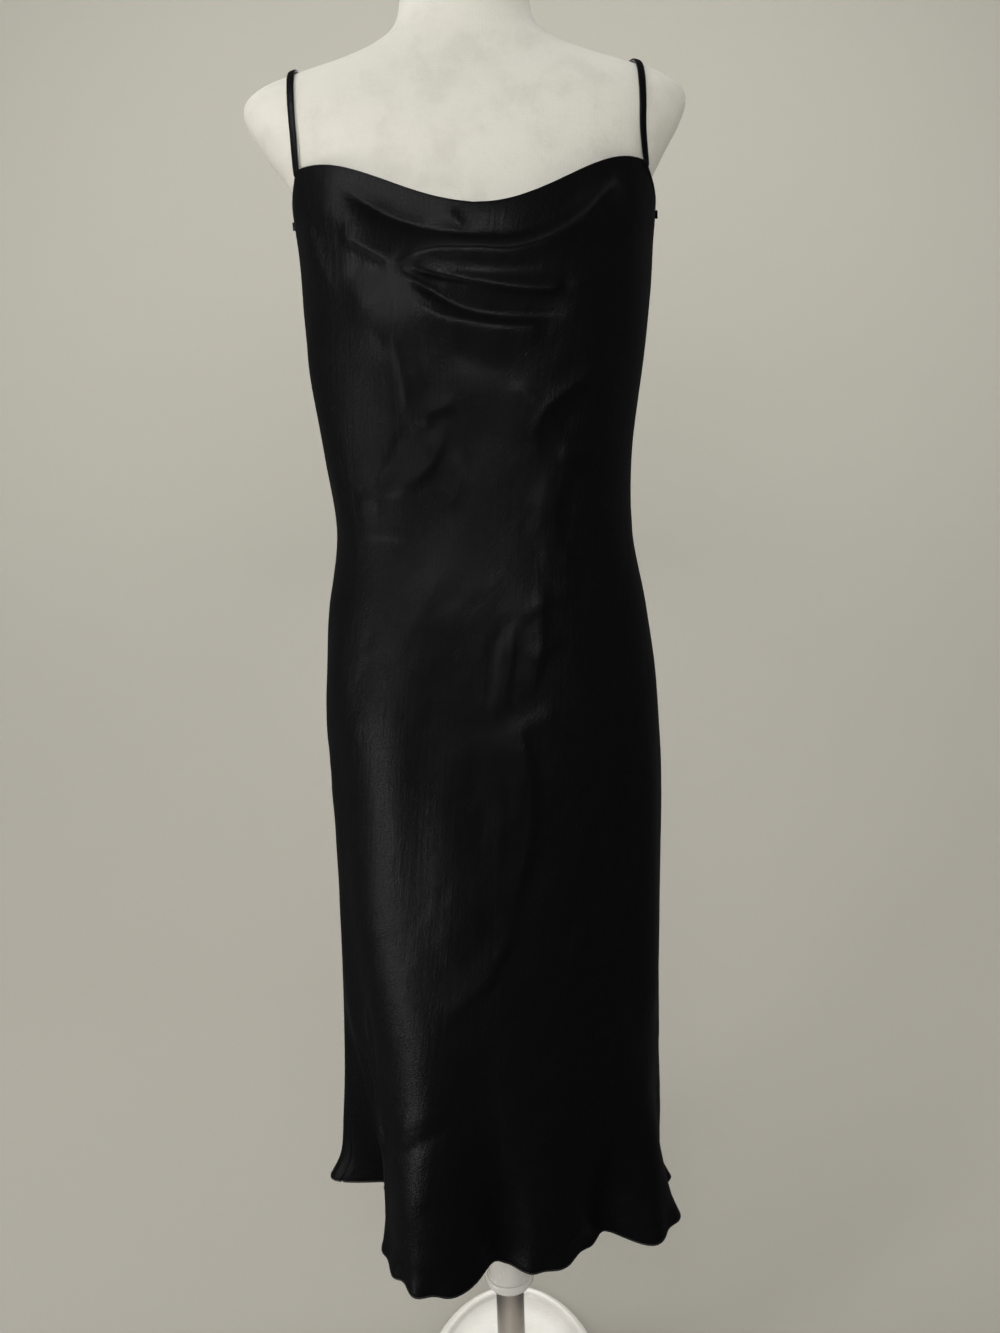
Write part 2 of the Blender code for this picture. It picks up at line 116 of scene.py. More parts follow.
class Bench:
    """Where one material's nodes are laid out."""

    def __init__(self, name: str) -> None:
        """Start an empty material.

        Args:
            name: the material's name.
        """
        self.material = bpy.data.materials.new(name)
        self.material.use_nodes = True
        self.tree = self.material.node_tree
        self.tree.nodes.clear()

    def node(self, kind: str, settings: dict[str, Any] | None = None,
             sockets: dict[Any, Any] | None = None, output: Any = 0) -> Wire:
        """Make any node.

        Args:
            kind: the node's type.
            settings: its properties, set first.
            sockets: values or wires for its inputs, by name or index.
            output: the output that is wanted.

        Returns:
            The wire of that output.
        """
        made = self.tree.nodes.new(kind)
        for name, value in (settings or {}).items():
            setattr(made, name, value)
        for key, value in (sockets or {}).items():
            if isinstance(value, Wire):
                self.tree.links.new(value.socket, made.inputs[key])
            else:
                made.inputs[key].default_value = value
        return Wire(self, made.outputs[output] if len(made.outputs) else made.inputs[0])

    def own_place(self, scale: tuple[float, float, float] = (1.0, 1.0, 1.0),
                  turn: tuple[float, float, float] = (0.0, 0.0, 0.0)) -> Wire:
        """Object coordinates through a Mapping node."""
        place = self.node("ShaderNodeTexCoord", output="Object")
        return self.node("ShaderNodeMapping", {}, {"Vector": place, "Scale": scale, "Rotation": turn})

    def cloth_place(self, scale: tuple[float, float, float] = (1.0, 1.0, 1.0),
                    turn: float = 0.0) -> Wire:
        """The cloth's own chart, in metres, through a Mapping node turned in its plane."""
        chart = self.node("ShaderNodeUVMap", {"uv_map": CLOTH_CHART})
        turned = self.node("ShaderNodeMapping", {}, {"Vector": chart, "Rotation": (0.0, 0.0, turn)})
        return self.node("ShaderNodeMapping", {}, {"Vector": turned, "Scale": scale})

    def noise(self, place: Wire, scale: float, detail: float = 3.0, rough: float = 0.5) -> Wire:
        """Noise at a place, 0 to 1."""
        return self.node("ShaderNodeTexNoise", {},
                         {"Vector": place, "Scale": scale, "Detail": detail, "Roughness": rough})

    def tint(self, share: Wire, first: tuple[float, float, float],
             second: tuple[float, float, float]) -> Wire:
        """Mix of two colours."""
        return self.node("ShaderNodeMix", {"data_type": "RGBA"},
                         {0: share, 6: (*first, 1.0), 7: (*second, 1.0)}, output=2)

    def bump(self, height: Wire, depth: float, under: Wire | None = None) -> Wire:
        """Normal of a relief.

        Args:
            height: the relief, 0 to 1.
            depth: how deep it is, in metres.
            under: a normal that it goes on top of.

        Returns:
            The normal.
        """
        sockets: dict[Any, Any] = {"Height": height, "Distance": depth, "Strength": 1.0}
        if under is not None:
            sockets["Normal"] = under
        return self.node("ShaderNodeBump", {}, sockets)

    def finish(self, colour: Any, roughness: Any, normal: Wire | None = None,
               **constants: Any) -> bpy.types.Material:
        """End the material in a Principled shader.

        Args:
            colour: base colour, a wire or a colour.
            roughness: a wire or a number.
            normal: the normal, if there is a relief.
            constants: other sockets of the shader, with underscores for spaces.

        Returns:
            The material.
        """
        sockets: dict[Any, Any] = {"Base Color": colour, "Roughness": roughness}
        if normal is not None:
            sockets["Normal"] = normal
        for name, value in constants.items():
            sockets[name.replace("_", " ")] = value
        shader = self.node("ShaderNodeBsdfPrincipled", {}, sockets)
        self.node("ShaderNodeOutputMaterial", {}, {"Surface": shader})
        return self.material


# ---------------------------------------------------------------------------------------- finishes
@dataclass(frozen=True)
class SatinFinish:
    """Black bias-cut satin: smooth, soft-edged highlights with a fine silky grain."""

    dark: tuple[float, float, float] = (0.0024, 0.0024, 0.0027)
    light: tuple[float, float, float] = (0.0044, 0.0044, 0.0051)
    roughness: float = 0.37
    roughness_spread: float = 0.12
    bias: float = math.radians(45.0)

    def material(self) -> bpy.types.Material:
        """Satin with slubs along the bias, a twill and a fine silky grain."""
        bench = Bench("black_satin")
        slubs = bench.noise(bench.cloth_place((1.0, 0.045, 1.0), self.bias), 900.0, 4.0, 0.65)
        cloud = bench.noise(bench.cloth_place(), 22.0, 3.0, 0.6)
        grain = bench.noise(bench.cloth_place((1.0, 0.6, 1.0), self.bias), 520.0, 3.0, 0.7)
        rumple = bench.noise(bench.cloth_place((1.0, 0.7, 1.0), self.bias), 70.0, 4.0, 0.62)
        streaks = bench.noise(bench.cloth_place((1.0, 0.055, 1.0), math.radians(6.0)), 230.0, 3.0, 0.6)
        twill = bench.node("ShaderNodeTexWave", {"wave_type": "BANDS", "bands_direction": "X"},
                           {"Vector": bench.cloth_place(turn=self.bias), "Scale": 420.0,
                            "Distortion": 1.2, "Detail": 1.0}, output=1)
        share = 0.4 * slubs + 0.3 * streaks + 0.3 * cloud
        colour = bench.tint(share, self.dark, self.light)
        roughness = (self.roughness + self.roughness_spread * (cloud - 0.5) + 0.10 * (slubs - 0.5)
                     + 0.12 * (streaks - 0.5))
        normal = bench.bump(rumple, 0.0006)
        normal = bench.bump(streaks, 0.00045, normal)
        normal = bench.bump(slubs, 0.00026, normal)
        normal = bench.bump(grain, 0.00034, normal)
        normal = bench.bump(twill, 0.00003, normal)
        return bench.finish(colour, roughness, normal, Specular_IOR_Level=0.20,
                            Specular_Tint=(0.93, 0.95, 1.0, 1.0),
                            Sheen_Weight=0.01, Sheen_Roughness=0.35)


@dataclass(frozen=True)
class ThreadFinish:
    """Black polyester thread of the rolled hem and the stitches."""

    colour: tuple[float, float, float] = (0.006, 0.006, 0.007)
    shade: tuple[float, float, float] = (0.016, 0.016, 0.018)

    def material(self) -> bpy.types.Material:
        """Thread with fine twisted fibres."""
        bench = Bench("black_thread")
        fibre = bench.noise(bench.own_place((1.0, 1.0, 0.4), (0.5, 0.4, 0.0)), 2600.0, 2.0)
        colour = bench.tint(fibre, self.colour, self.shade)
        return bench.finish(colour, 0.42 + 0.2 * fibre, bench.bump(fibre, 0.0001))


@dataclass(frozen=True)
class FormCoverFinish:
    """Off-white knitted jersey stretched over the form."""

    clean: tuple[float, float, float] = (0.655, 0.643, 0.588)
    worn: tuple[float, float, float] = (0.520, 0.506, 0.455)

    def material(self) -> bpy.types.Material:
        """Jersey with fine wales, a soft mottle and a few rubbed patches."""
        bench = Bench("form_jersey")
        mottle = bench.noise(bench.own_place(), 26.0, 5.0, 0.62)
        rubbed = bench.noise(bench.own_place(), 7.0, 3.0, 0.55).clamped(0.52, 0.74)
        fleck = bench.noise(bench.own_place(), 190.0, 2.0, 0.5).clamped(0.62, 0.78)
        share = (0.55 * mottle.clamped(0.35, 0.72) + 0.40 * rubbed + 0.18 * fleck).clamped(0.0, 1.2)
        colour = bench.tint(share, self.clean, self.worn)
        wales = bench.node("ShaderNodeTexWave", {"wave_type": "BANDS", "bands_direction": "X"},
                           {"Vector": bench.own_place(), "Scale": 160.0, "Distortion": 2.0,
                            "Detail": 2.0, "Detail Scale": 3.0}, output=1)
        courses = bench.node("ShaderNodeTexWave", {"wave_type": "BANDS", "bands_direction": "Z"},
                             {"Vector": bench.own_place(), "Scale": 210.0, "Distortion": 2.0,
                              "Detail": 2.0, "Detail Scale": 3.0}, output=1)
        fuzz = bench.noise(bench.own_place(), 520.0, 4.0, 0.7)
        normal = bench.bump(0.5 * wales + 0.5 * courses, 0.00012)
        normal = bench.bump(fuzz, 0.00025, normal)
        normal = bench.bump(mottle, 0.0012, normal)
        return bench.finish(colour, 0.86 + 0.1 * (mottle - 0.5), normal, Sheen_Weight=0.12,
                            Sheen_Roughness=0.6, Specular_IOR_Level=0.3)


@dataclass(frozen=True)
class StandWhiteFinish:
    """Glossy off-white moulded plastic and lacquer, slightly marked."""

    clean: tuple[float, float, float] = (0.790, 0.775, 0.735)
    aged: tuple[float, float, float] = (0.700, 0.680, 0.625)
    gloss: float = 0.20

    def material(self) -> bpy.types.Material:
        """Plastic with faint mould swirls, scuffs and an orange-peel surface."""
        bench = Bench("stand_white")
        swirl = bench.noise(bench.own_place((1.0, 1.0, 0.4)), 18.0, 4.0, 0.6)
        scuffs = bench.noise(bench.own_place((1.0, 6.0, 1.0), (0.0, 0.0, 0.6)), 60.0, 4.0, 0.7)
        peel = bench.noise(bench.own_place(), 340.0, 2.0, 0.5)
        colour = bench.tint(swirl.clamped(0.35, 0.75), self.clean, self.aged)
        roughness = self.gloss + 0.16 * scuffs.clamped(0.5, 0.75) + 0.04 * peel
        normal = bench.bump(peel, 0.00006)
        return bench.finish(colour, roughness, normal, Coat_Weight=0.25, Coat_Roughness=0.12)


@dataclass(frozen=True)
class PoleSteelFinish:
    """Brushed steel tube, drawn lengthwise."""

    bright: tuple[float, float, float] = (0.80, 0.75, 0.70)
    dull: tuple[float, float, float] = (0.62, 0.57, 0.52)

    def material(self) -> bpy.types.Material:
        """Steel with long fine draw lines and a few dull smudges."""
        bench = Bench("pole_steel")
        lines = bench.noise(bench.own_place((1.0, 1.0, 0.02)), 1400.0, 3.0, 0.6)
        smudge = bench.noise(bench.own_place(), 30.0, 3.0, 0.6)
        colour = bench.tint(0.5 * lines + 0.5 * smudge, self.bright, self.dull)
        roughness = 0.30 + 0.12 * smudge + 0.10 * lines
        return bench.finish(colour, roughness, bench.bump(lines, 0.00003), Metallic=1.0)


@dataclass(frozen=True)
class BackdropFinish:
    """Plain painted studio sweep, pale grey-beige, with painted shade that darkens it towards the floor, lit
    from within where the lamps don't reach.
    """

    wall: tuple[float, float, float] = (0.455, 0.445, 0.402)
    # the floor's own tone, which the lower wall also fades into as painted shade
    floor: tuple[float, float, float] = (0.400, 0.388, 0.350)
    far_glow: tuple[float, float, float] = (0.330, 0.320, 0.285)
    lit_middle: tuple[float, float, float] = (0.0, 1.6, 1.0)

    def material(self) -> bpy.types.Material:
        """Paint with a faint roller texture, a little deeper in tone on the floor, with painted shade that
        darkens the lower sweep down into that tone, and a painted glow far from the lamps.
        """
        bench = Bench("studio_sweep")
        place = bench.node("ShaderNodeTexCoord", output="Object")
        height = bench.node("ShaderNodeSeparateXYZ", {}, {0: place}, output=2)
        mottle = bench.noise(bench.own_place(), 3.0, 3.0)
        # painted shade: the sweep grows darker towards the bottom, from the wall's tone at 1.3 m to the
        # floor's
        share = (height + 0.12 * mottle).clamped(0.0, 1.3)
        colour = bench.tint(share, self.floor, self.wall)
        roller = bench.noise(bench.own_place(), 160.0, 3.0, 0.6)
        away = bench.node("ShaderNodeVectorMath", {"operation": "DISTANCE"},
                          {0: place, 1: self.lit_middle}, output="Value")
        glow = bench.tint(away.clamped(2.5, 4.3), (0.0, 0.0, 0.0), self.far_glow)
        return bench.finish(colour, 0.9, bench.bump(roller, 0.0004), Specular_IOR_Level=0.2,
                            Emission_Color=glow, Emission_Strength=1.0)


# ------------------------------------------------------------------------------- tables of the form
@dataclass(frozen=True)
class Section:
    """Plan of a body at one height: half widths, depths, and how square the oval is."""

    height: float
    left: float
    right: float
    front: float
    back: float
    power: float


DRESS_SECTIONS = tuple(Section(*row) for row in (
    (0.305, 0.177, 0.173, 0.134, 0.128, 2.00), (0.420, 0.174, 0.173, 0.133, 0.125, 2.00),
    (0.565, 0.168, 0.173, 0.132, 0.121, 2.05), (0.690, 0.164, 0.174, 0.131, 0.120, 2.10),
    (0.790, 0.164, 0.174, 0.130, 0.121, 2.15), (0.873, 0.163, 0.170, 0.127, 0.118, 2.15),
    (0.955, 0.155, 0.160, 0.120, 0.109, 2.15), (1.034, 0.143, 0.146, 0.113, 0.097, 2.15),
    (1.110, 0.150, 0.147, 0.117, 0.098, 2.20), (1.185, 0.157, 0.157, 0.127, 0.104, 2.30),
    (1.225, 0.158, 0.162, 0.131, 0.107, 2.35), (1.256, 0.158, 0.165, 0.129, 0.108, 2.40),
    (1.290, 0.160, 0.167, 0.117, 0.108, 2.45), (1.326, 0.163, 0.169, 0.107, 0.107, 2.50),
    (1.370, 0.160, 0.163, 0.100, 0.105, 2.50),
))

FORM_SECTIONS = tuple(Section(*row) for row in (
    (0.748, 0.146, 0.146, 0.094, 0.098, 2.15), (0.764, 0.153, 0.153, 0.101, 0.106, 2.15),
    (0.820, 0.157, 0.157, 0.106, 0.112, 2.15), (0.880, 0.154, 0.154, 0.104, 0.109, 2.15),
    (0.950, 0.142, 0.142, 0.098, 0.097, 2.10), (1.030, 0.126, 0.126, 0.091, 0.084, 2.10),
    (1.100, 0.129, 0.129, 0.095, 0.085, 2.15), (1.165, 0.142, 0.142, 0.103, 0.092, 2.20),
    (1.225, 0.149, 0.149, 0.106, 0.097, 2.25), (1.280, 0.152, 0.152, 0.100, 0.099, 2.25),
    (1.320, 0.154, 0.155, 0.093, 0.098, 2.25), (1.345, 0.164, 0.165, 0.088, 0.096, 2.30),
    (1.370, 0.181, 0.178, 0.083, 0.091, 2.50), (1.395, 0.197, 0.192, 0.077, 0.084, 2.65),
    (1.415, 0.202, 0.197, 0.068, 0.075, 2.65), (1.430, 0.189, 0.185, 0.060, 0.067, 2.40),
    (1.442, 0.158, 0.155, 0.054, 0.062, 2.10), (1.452, 0.122, 0.122, 0.051, 0.060, 2.00),
    (1.463, 0.091, 0.091, 0.048, 0.057, 2.00), (1.478, 0.067, 0.067, 0.046, 0.053, 2.00),
    (1.500, 0.058, 0.058, 0.045, 0.050, 2.00), (1.532, 0.056, 0.056, 0.045, 0.050, 2.00),
    (1.536, 0.053, 0.053, 0.042, 0.047, 2.00),
))


@dataclass(frozen=True)
class Bust:
    """The pads at the front of the form: their place, reach and depth."""

    apart: float = 0.078         # from the middle to either one
    height: float = 1.212
    half_width: float = 0.062
    half_height: float = 0.075
    out: float = 0.014


BUST = Bust()


@dataclass(frozen=True)
class Flute:
    """A soft flute of the skirt: its angle round the hem, reach, depth and top, in degrees and metres."""

    angle: float
    half_width: float
    out: float
    top: float


FLUTES = tuple(Flute(*row) for row in (
    (-24.0, 24.0, 0.038, 0.70), (-1.0, 11.0, -0.012, 0.48), (13.0, 12.0, 0.006, 0.50),
    (38.0, 14.0, -0.020, 0.50), (56.0, 17.0, 0.026, 0.54), (68.0, 12.0, 0.014, 0.42),
    (-60.0, 17.0, -0.048, 0.70), (-76.0, 14.0, -0.042, 0.62), (-85.0, 8.0, -0.030, 0.46),
    (-98.0, 12.0, 0.010, 0.56), (116.0, 15.0, -0.014, 0.60), (137.0, 19.0, 0.027, 0.66),
    (163.0, 14.0, -0.012, 0.60), (-175.0, 19.0, 0.024, 0.66), (-149.0, 15.0, -0.016, 0.60),
    (-124.0, 18.0, 0.026, 0.64),
))


@dataclass(frozen=True)
class Crease:
    """A soft ridge or trough along a path on the cloth, in millimetres.

    left and right are its reach on either hand of the way that the path runs; sag is how far the
    cloth hangs down over itself there; edge is 2 for a round ridge and less for a crisp one; ends
    are the shares of the path over which it grows and dies away.
    """

    path: tuple[tuple[float, float], ...]
    out: float
    left: float
    right: float
    sag: float = 0.0
    edge: float = 2.0
    ends: tuple[float, float] = (0.3, 0.3)


# Folds of the cowl, from the neck down.
COWL_CREASES = (
    Crease(((-118, 1342), (-88, 1318), (-56, 1299), (-14, 1286), (26, 1282), (60, 1293), (92, 1314),
            (114, 1336)), -9.0, 15, 9, edge=1.25, ends=(0.25, 0.25)),
    Crease(((-70, 1258), (-46, 1263), (-28, 1270), (0, 1270), (24, 1268), (50, 1275), (77, 1292),
            (98, 1312), (126, 1334)), 14.0, 8, 13, edge=1.3, ends=(0.22, 0.12)),
    Crease(((-40, 1256), (-10, 1254), (26, 1251), (60, 1252), (92, 1264)), -1.5, 8, 6, ends=(0.3, 0.3)),
    Crease(((-60, 1262), (-36, 1254), (-12, 1248), (20, 1240), (50, 1237), (70, 1238)), 5.0, 9, 3.5,
           sag=1.0, edge=1.5, ends=(0.3, 0.08)),
    Crease(((-58, 1256), (-34, 1240), (-6, 1224), (24, 1217), (58, 1216), (84, 1222)), -5.5, 12, 4.5,
           edge=1.7, ends=(0.25, 0.3)),
    Crease(((-54, 1238), (-34, 1222), (-12, 1214), (22, 1208), (60, 1209)), 3.4, 5, 14,
           edge=1.5, ends=(0.35, 0.12)),
    Crease(((74, 1240), (86, 1242), (98, 1246)), 1.8, 5, 3),
    Crease(((-112, 1290), (-92, 1281), (-78, 1273), (-60, 1261)), 4.0, 14, 4.0, edge=1.4, ends=(0.2, 0.2)),
    Crease(((-106, 1268), (-86, 1260), (-64, 1252)), -2.0, 8, 12),
    Crease(((-12, 1306), (-9, 1294), (-2, 1286)), 2.6, 4, 12, ends=(0.4, 0.4)),
    Crease(((74, 1288), (84, 1298), (98, 1310)), 2.4, 4, 10, ends=(0.4, 0.4)),
    Crease(((-150, 1322), (-122, 1312), (-98, 1300), (-74, 1288)), 2.0, 18, 12, ends=(0.4, 0.4)),
    Crease(((-158, 1322), (-148, 1290), (-130, 1252), (-114, 1220)), 2.6, 9, 22, ends=(0.3, 0.5)),
    Crease(((150, 1336), (142, 1300), (130, 1262), (120, 1220)), 2.4, 22, 10, ends=(0.3, 0.5)),
)

# Drapes and pressed creases of the bodice and waist.
BODICE_CREASES = (
    Crease(((-98, 1262), (-93, 1238), (-84, 1216), (-68, 1196), (-50, 1180)), 4.2, 26, 14, ends=(0.4, 0.5)),
    Crease(((-56, 1252), (-61, 1226), (-64, 1194), (-62, 1162), (-64, 1130)), 2.2, 14, 3.0, edge=1.4),
    Crease(((-41, 1236), (-43, 1190), (-42, 1160)), 0.9, 3.0, 12, edge=1.4),
    Crease(((130, 1196), (104, 1173), (80, 1155), (62, 1142), (54, 1122), (58, 1098)), 3.6, 5, 7, edge=1.5,
           ends=(0.3, 0.4)),
    Crease(((62, 1142), (45, 1155), (28, 1162)), 1.8, 14, 3.5, edge=1.5),
    Crease(((118, 1160), (92, 1142), (74, 1120)), -2.2, 10, 12),
    Crease(((-108, 1074), (-88, 1100), (-72, 1122), (-46, 1132)), -1.8, 3.5, 12, edge=1.5, ends=(0.2, 0.3)),
    Crease(((-46, 1128), (-40, 1140), (-14, 1149)), 2.0, 12, 3.5, edge=1.5),
    Crease(((-104, 1070), (-76, 1078), (-50, 1092), (-36, 1112), (-30, 1136)), 2.8, 18, 3.5, edge=1.5),
    Crease(((-24, 1112), (-20, 1082), (-32, 1052)), 1.6, 3.5, 16, edge=1.5),
    Crease(((-136, 1039), (-101, 1037), (-62, 1037)), 1.1, 20, 3.5, edge=1.5, ends=(0.3, 0.4)),
    Crease(((-134, 1069), (-112, 1070), (-92, 1068)), 1.6, 3.5, 16, edge=1.5, ends=(0.3, 0.4)),
    Crease(((128, 1106), (96, 1102), (74, 1100)), 2.2, 3.5, 14, edge=1.5, ends=(0.3, 0.3)),
    Crease(((132, 1092), (104, 1084), (84, 1076)), -2.0, 8, 8),
    Crease(((140, 1060), (112, 1050), (86, 1052)), 1.8, 4, 16, edge=1.5),
    Crease(((96, 1040), (84, 1020), (82, 1000)), 1.8, 14, 3.5, edge=1.5),
    Crease(((-20, 1200), (-2, 1184), (20, 1176), (46, 1176)), -2.0, 14, 16),
    Crease(((98, 1112), (82, 1082), (74, 1050), (80, 1018), (88, 986)), 2.6, 5, 22, edge=1.6),
    Crease(((66, 1090), (58, 1056), (62, 1020), (70, 990)), 1.3, 16, 4, edge=1.5),
)

# The long drapes of the skirt and the creases across them.
SKIRT_CREASES = (
    Crease(((-16, 1122), (0, 1086), (-16, 1034), (-46, 982), (-74, 935), (-92, 895), (-102, 832),
            (-108, 758), (-110, 690), (-106, 616), (-99, 560), (-92, 526), (-95, 470)), 4.0, 40, 26,
           ends=(0.3, 0.25)),
    Crease(((-20, 980), (-44, 900), (-62, 820), (-70, 720), (-66, 620)), -2.6, 22, 20, ends=(0.3, 0.4)),
    Crease(((18, 962), (10, 936), (6, 908), (2, 876)), -3.0, 4, 8, edge=1.4, ends=(0.3, 0.3)),
    Crease(((30, 962), (24, 930), (18, 900), (15, 866)), 2.4, 4, 16, edge=1.5, ends=(0.3, 0.4)),
    Crease(((64, 877), (50, 873), (36, 868), (20, 856)), 2.4, 12, 3.5, edge=1.4, ends=(0.25, 0.35)),
    Crease(((36, 960), (56, 974), (78, 980), (102, 984)), 2.0, 12, 3.5, edge=1.5),
    Crease(((40, 918), (54, 930), (72, 942)), 2.0, 12, 3.5, edge=1.5),
    Crease(((58, 1000), (54, 960), (48, 920), (36, 885)), 2.4, 4, 18, edge=1.5),
    Crease(((22, 880), (30, 850), (35, 812), (34, 768), (27, 728), (20, 700), (16, 650)), 4.6, 6, 46,
           edge=1.5, ends=(0.2, 0.25)),
    Crease(((6, 840), (10, 780), (4, 720)), 1.2, 4, 14, edge=1.5, ends=(0.4, 0.4)),
    Crease(((18, 664), (2, 640), (-10, 618), (-34, 597), (-60, 576)), 2.8, 3.5, 20, edge=1.4,
           ends=(0.2, 0.3)),
    Crease(((2, 704), (14, 672), (8, 652), (-2, 636)), 1.6, 3.5, 10, edge=1.4),
    Crease(((-46, 478), (-72, 456), (-102, 424)), -2.8, 5, 5, edge=1.5, ends=(0.3, 0.2)),
    Crease(((-52, 496), (-76, 476), (-104, 452)), 1.4, 4, 14, edge=1.5, ends=(0.3, 0.3)),
    Crease(((-62, 430), (-78, 390), (-84, 350)), 1.6, 8, 14, edge=1.7, ends=(0.4, 0.4)),
    Crease(((62, 640), (78, 634), (98, 631)), 1.4, 9, 3.0, edge=1.5),
    Crease(((78, 668), (76, 640), (80, 612)), 1.2, 3.0, 8),
    Crease(((86, 575), (84, 560), (90, 545)), 1.2, 3.0, 8),
    Crease(((150, 900), (160, 800), (164, 700), (166, 560), (160, 440)), 3.6, 20, 22, ends=(0.3, 0.3)),
    Crease(((110, 820), (118, 700), (120, 600), (112, 480)), -3.0, 30, 30, ends=(0.35, 0.35)),
    Crease(((-160, 900), (-164, 780), (-166, 660), (-164, 560)), -3.0, 22, 22, ends=(0.3, 0.4)),
    Crease(((-146, 570), (-140, 520), (-130, 470), (-114, 400)), 4.6, 4, 18, edge=1.5, ends=(0.25, 0.2)),
    Crease(((-172, 520), (-176, 470), (-170, 420)), -2.6, 10, 10, ends=(0.4, 0.3)),
    Crease(((-216, 356), (-196, 352), (-176, 347)), -2.2, 5, 8, edge=1.6),
    Crease(((44, 352), (58, 334), (72, 322)), 1.6, 5, 10, ends=(0.4, 0.2)),
    Crease(((118, 372), (132, 346), (140, 320)), 2.0, 8, 14, ends=(0.4, 0.2)),
)

# Drapes and creases of the back, left to right as seen from behind.
BACK_CREASES = (
    Crease(((-120, 1296), (-70, 1276), (-10, 1262), (52, 1270), (112, 1292)), -3.0, 14, 14),
    Crease(((-104, 1270), (-60, 1252), (-4, 1242), (58, 1250), (100, 1268)), 3.2, 12, 8, edge=1.8),
    Crease(((-84, 1222), (-30, 1206), (26, 1210), (70, 1224)), -2.4, 12, 12),
    Crease(((-150, 1180), (-110, 1150), (-70, 1128), (-34, 1118)), 2.8, 9, 9, edge=1.7),
    Crease(((152, 1170), (116, 1146), (82, 1130), (44, 1122)), 2.4, 8, 9, edge=1.7),
    Crease(((-140, 1100), (-96, 1086), (-44, 1082)), 2.4, 6, 9, edge=1.6),
    Crease(((138, 1084), (92, 1072), (40, 1066)), 2.6, 6, 9, edge=1.6),
    Crease(((-122, 1058), (-66, 1048), (-10, 1050), (48, 1044), (98, 1050)), 2.2, 6, 8, edge=1.6),
    Crease(((-110, 1026), (-52, 1020), (8, 1024)), 1.8, 6, 7, edge=1.6),
    Crease(((36, 1150), (22, 1100), (10, 1050), (-6, 1000), (-22, 940), (-28, 870)), 3.0, 18, 16),
    Crease(((40, 1000), (62, 930), (74, 840), (80, 720), (84, 600), (82, 480)), 5.5, 26, 24,
           ends=(0.2, 0.2)),
    Crease(((6, 900), (14, 800), (18, 680), (14, 560)), -3.6, 24, 24),
    Crease(((-52, 960), (-66, 860), (-74, 740), (-78, 600), (-74, 460)), 5.0, 26, 22, ends=(0.2, 0.2)),
    Crease(((-128, 900), (-132, 780), (-130, 640), (-124, 500)), -3.6, 24, 24),
    Crease(((134, 920), (138, 800), (136, 660), (128, 520)), -3.4, 24, 24),
    Crease(((-40, 930), (-16, 914), (14, 908)), 2.0, 5, 7, edge=1.6),
    Crease(((58, 866), (30, 850), (10, 846)), 1.8, 5, 6, edge=1.6),
    Crease(((-24, 700), (-44, 664), (-60, 640)), 2.0, 5, 5, edge=1.6),
    Crease(((26, 610), (46, 580), (66, 566)), 1.8, 5, 5, edge=1.6),
    Crease(((-12, 520), (-34, 486), (-62, 462)), 2.0, 5, 5, edge=1.6),
)


@dataclass(frozen=True)
class Ripple:
    """A ruffle of the lettuce hem, in millimetres.

    round_it is the distance round the hem from the front middle, positive to the right; then come its
    reach, and how far it flips out, drops, and how high up it starts.
    """

    round_it: float
    half_width: float
    out: float
    drop: float = 0.0
    height: float = 16.0


FRONT_RIPPLES = (
    Ripple(-230, 14, 15.0, 0.0, 24), Ripple(-208, 12, -2.0, -5.0, 20), Ripple(-188, 11, 0.0, -4.0, 20),
    Ripple(-168, 10, -3.0, -2.0), Ripple(-122, 11, 6.0, 2.0, 24), Ripple(-110, 7, -2.0),
    Ripple(-101, 9, 6.0, 3.0), Ripple(-89, 7, -4.0), Ripple(-76, 10, 5.0, 2.0), Ripple(-62, 8, -2.0),
    Ripple(-50, 10, 5.0, 3.0), Ripple(-36, 9, 3.0, 2.0), Ripple(-18, 9, -5.0, -2.0),
    Ripple(0, 12, 2.0, -1.0), Ripple(20, 11, 4.0), Ripple(40, 9, -2.0), Ripple(58, 12, 3.0),
    Ripple(78, 9, -4.5, -2.0), Ripple(98, 12, 2.5), Ripple(116, 10, -3.0, -2.0),
    Ripple(132, 14, 6.0, 3.0), Ripple(155, 9, -1.0), Ripple(174, 12, 8.0, 2.0), Ripple(194, 8, -1.0),
    Ripple(218, 12, 11.0, 1.0, 18), Ripple(240, 9, -3.0),
)

# How far each strap lies from the middle, at shares of its way from the front foot to the back one.
STRAP_ROUTES = {
    Side.LEFT: ((0.00, 0.1495), (0.20, 0.1505), (0.38, 0.1530), (0.48, 0.1520), (0.60, 0.1400),
                (0.80, 0.1180), (1.00, 0.1060)),
    Side.RIGHT: ((0.00, 0.1500), (0.20, 0.1510), (0.38, 0.1505), (0.48, 0.1460), (0.60, 0.1330),
                 (0.80, 0.1160), (1.00, 0.1060)),
}


# ----------------------------------------------------------------------------------- smooth helpers
def eased(share: Array | float) -> Array:
    """Smooth step of a share held between 0 and 1."""
    held = np.clip(share, 0.0, 1.0)
    return held * held * (3.0 - 2.0 * held)


def hump(distance: Array, reach: float) -> Array:
    """Raised cosine: 1 at no distance and 0 from the reach on."""
    return 0.5 * (1.0 + np.cos(math.pi * np.clip(np.abs(distance) / reach, 0.0, 1.0)))


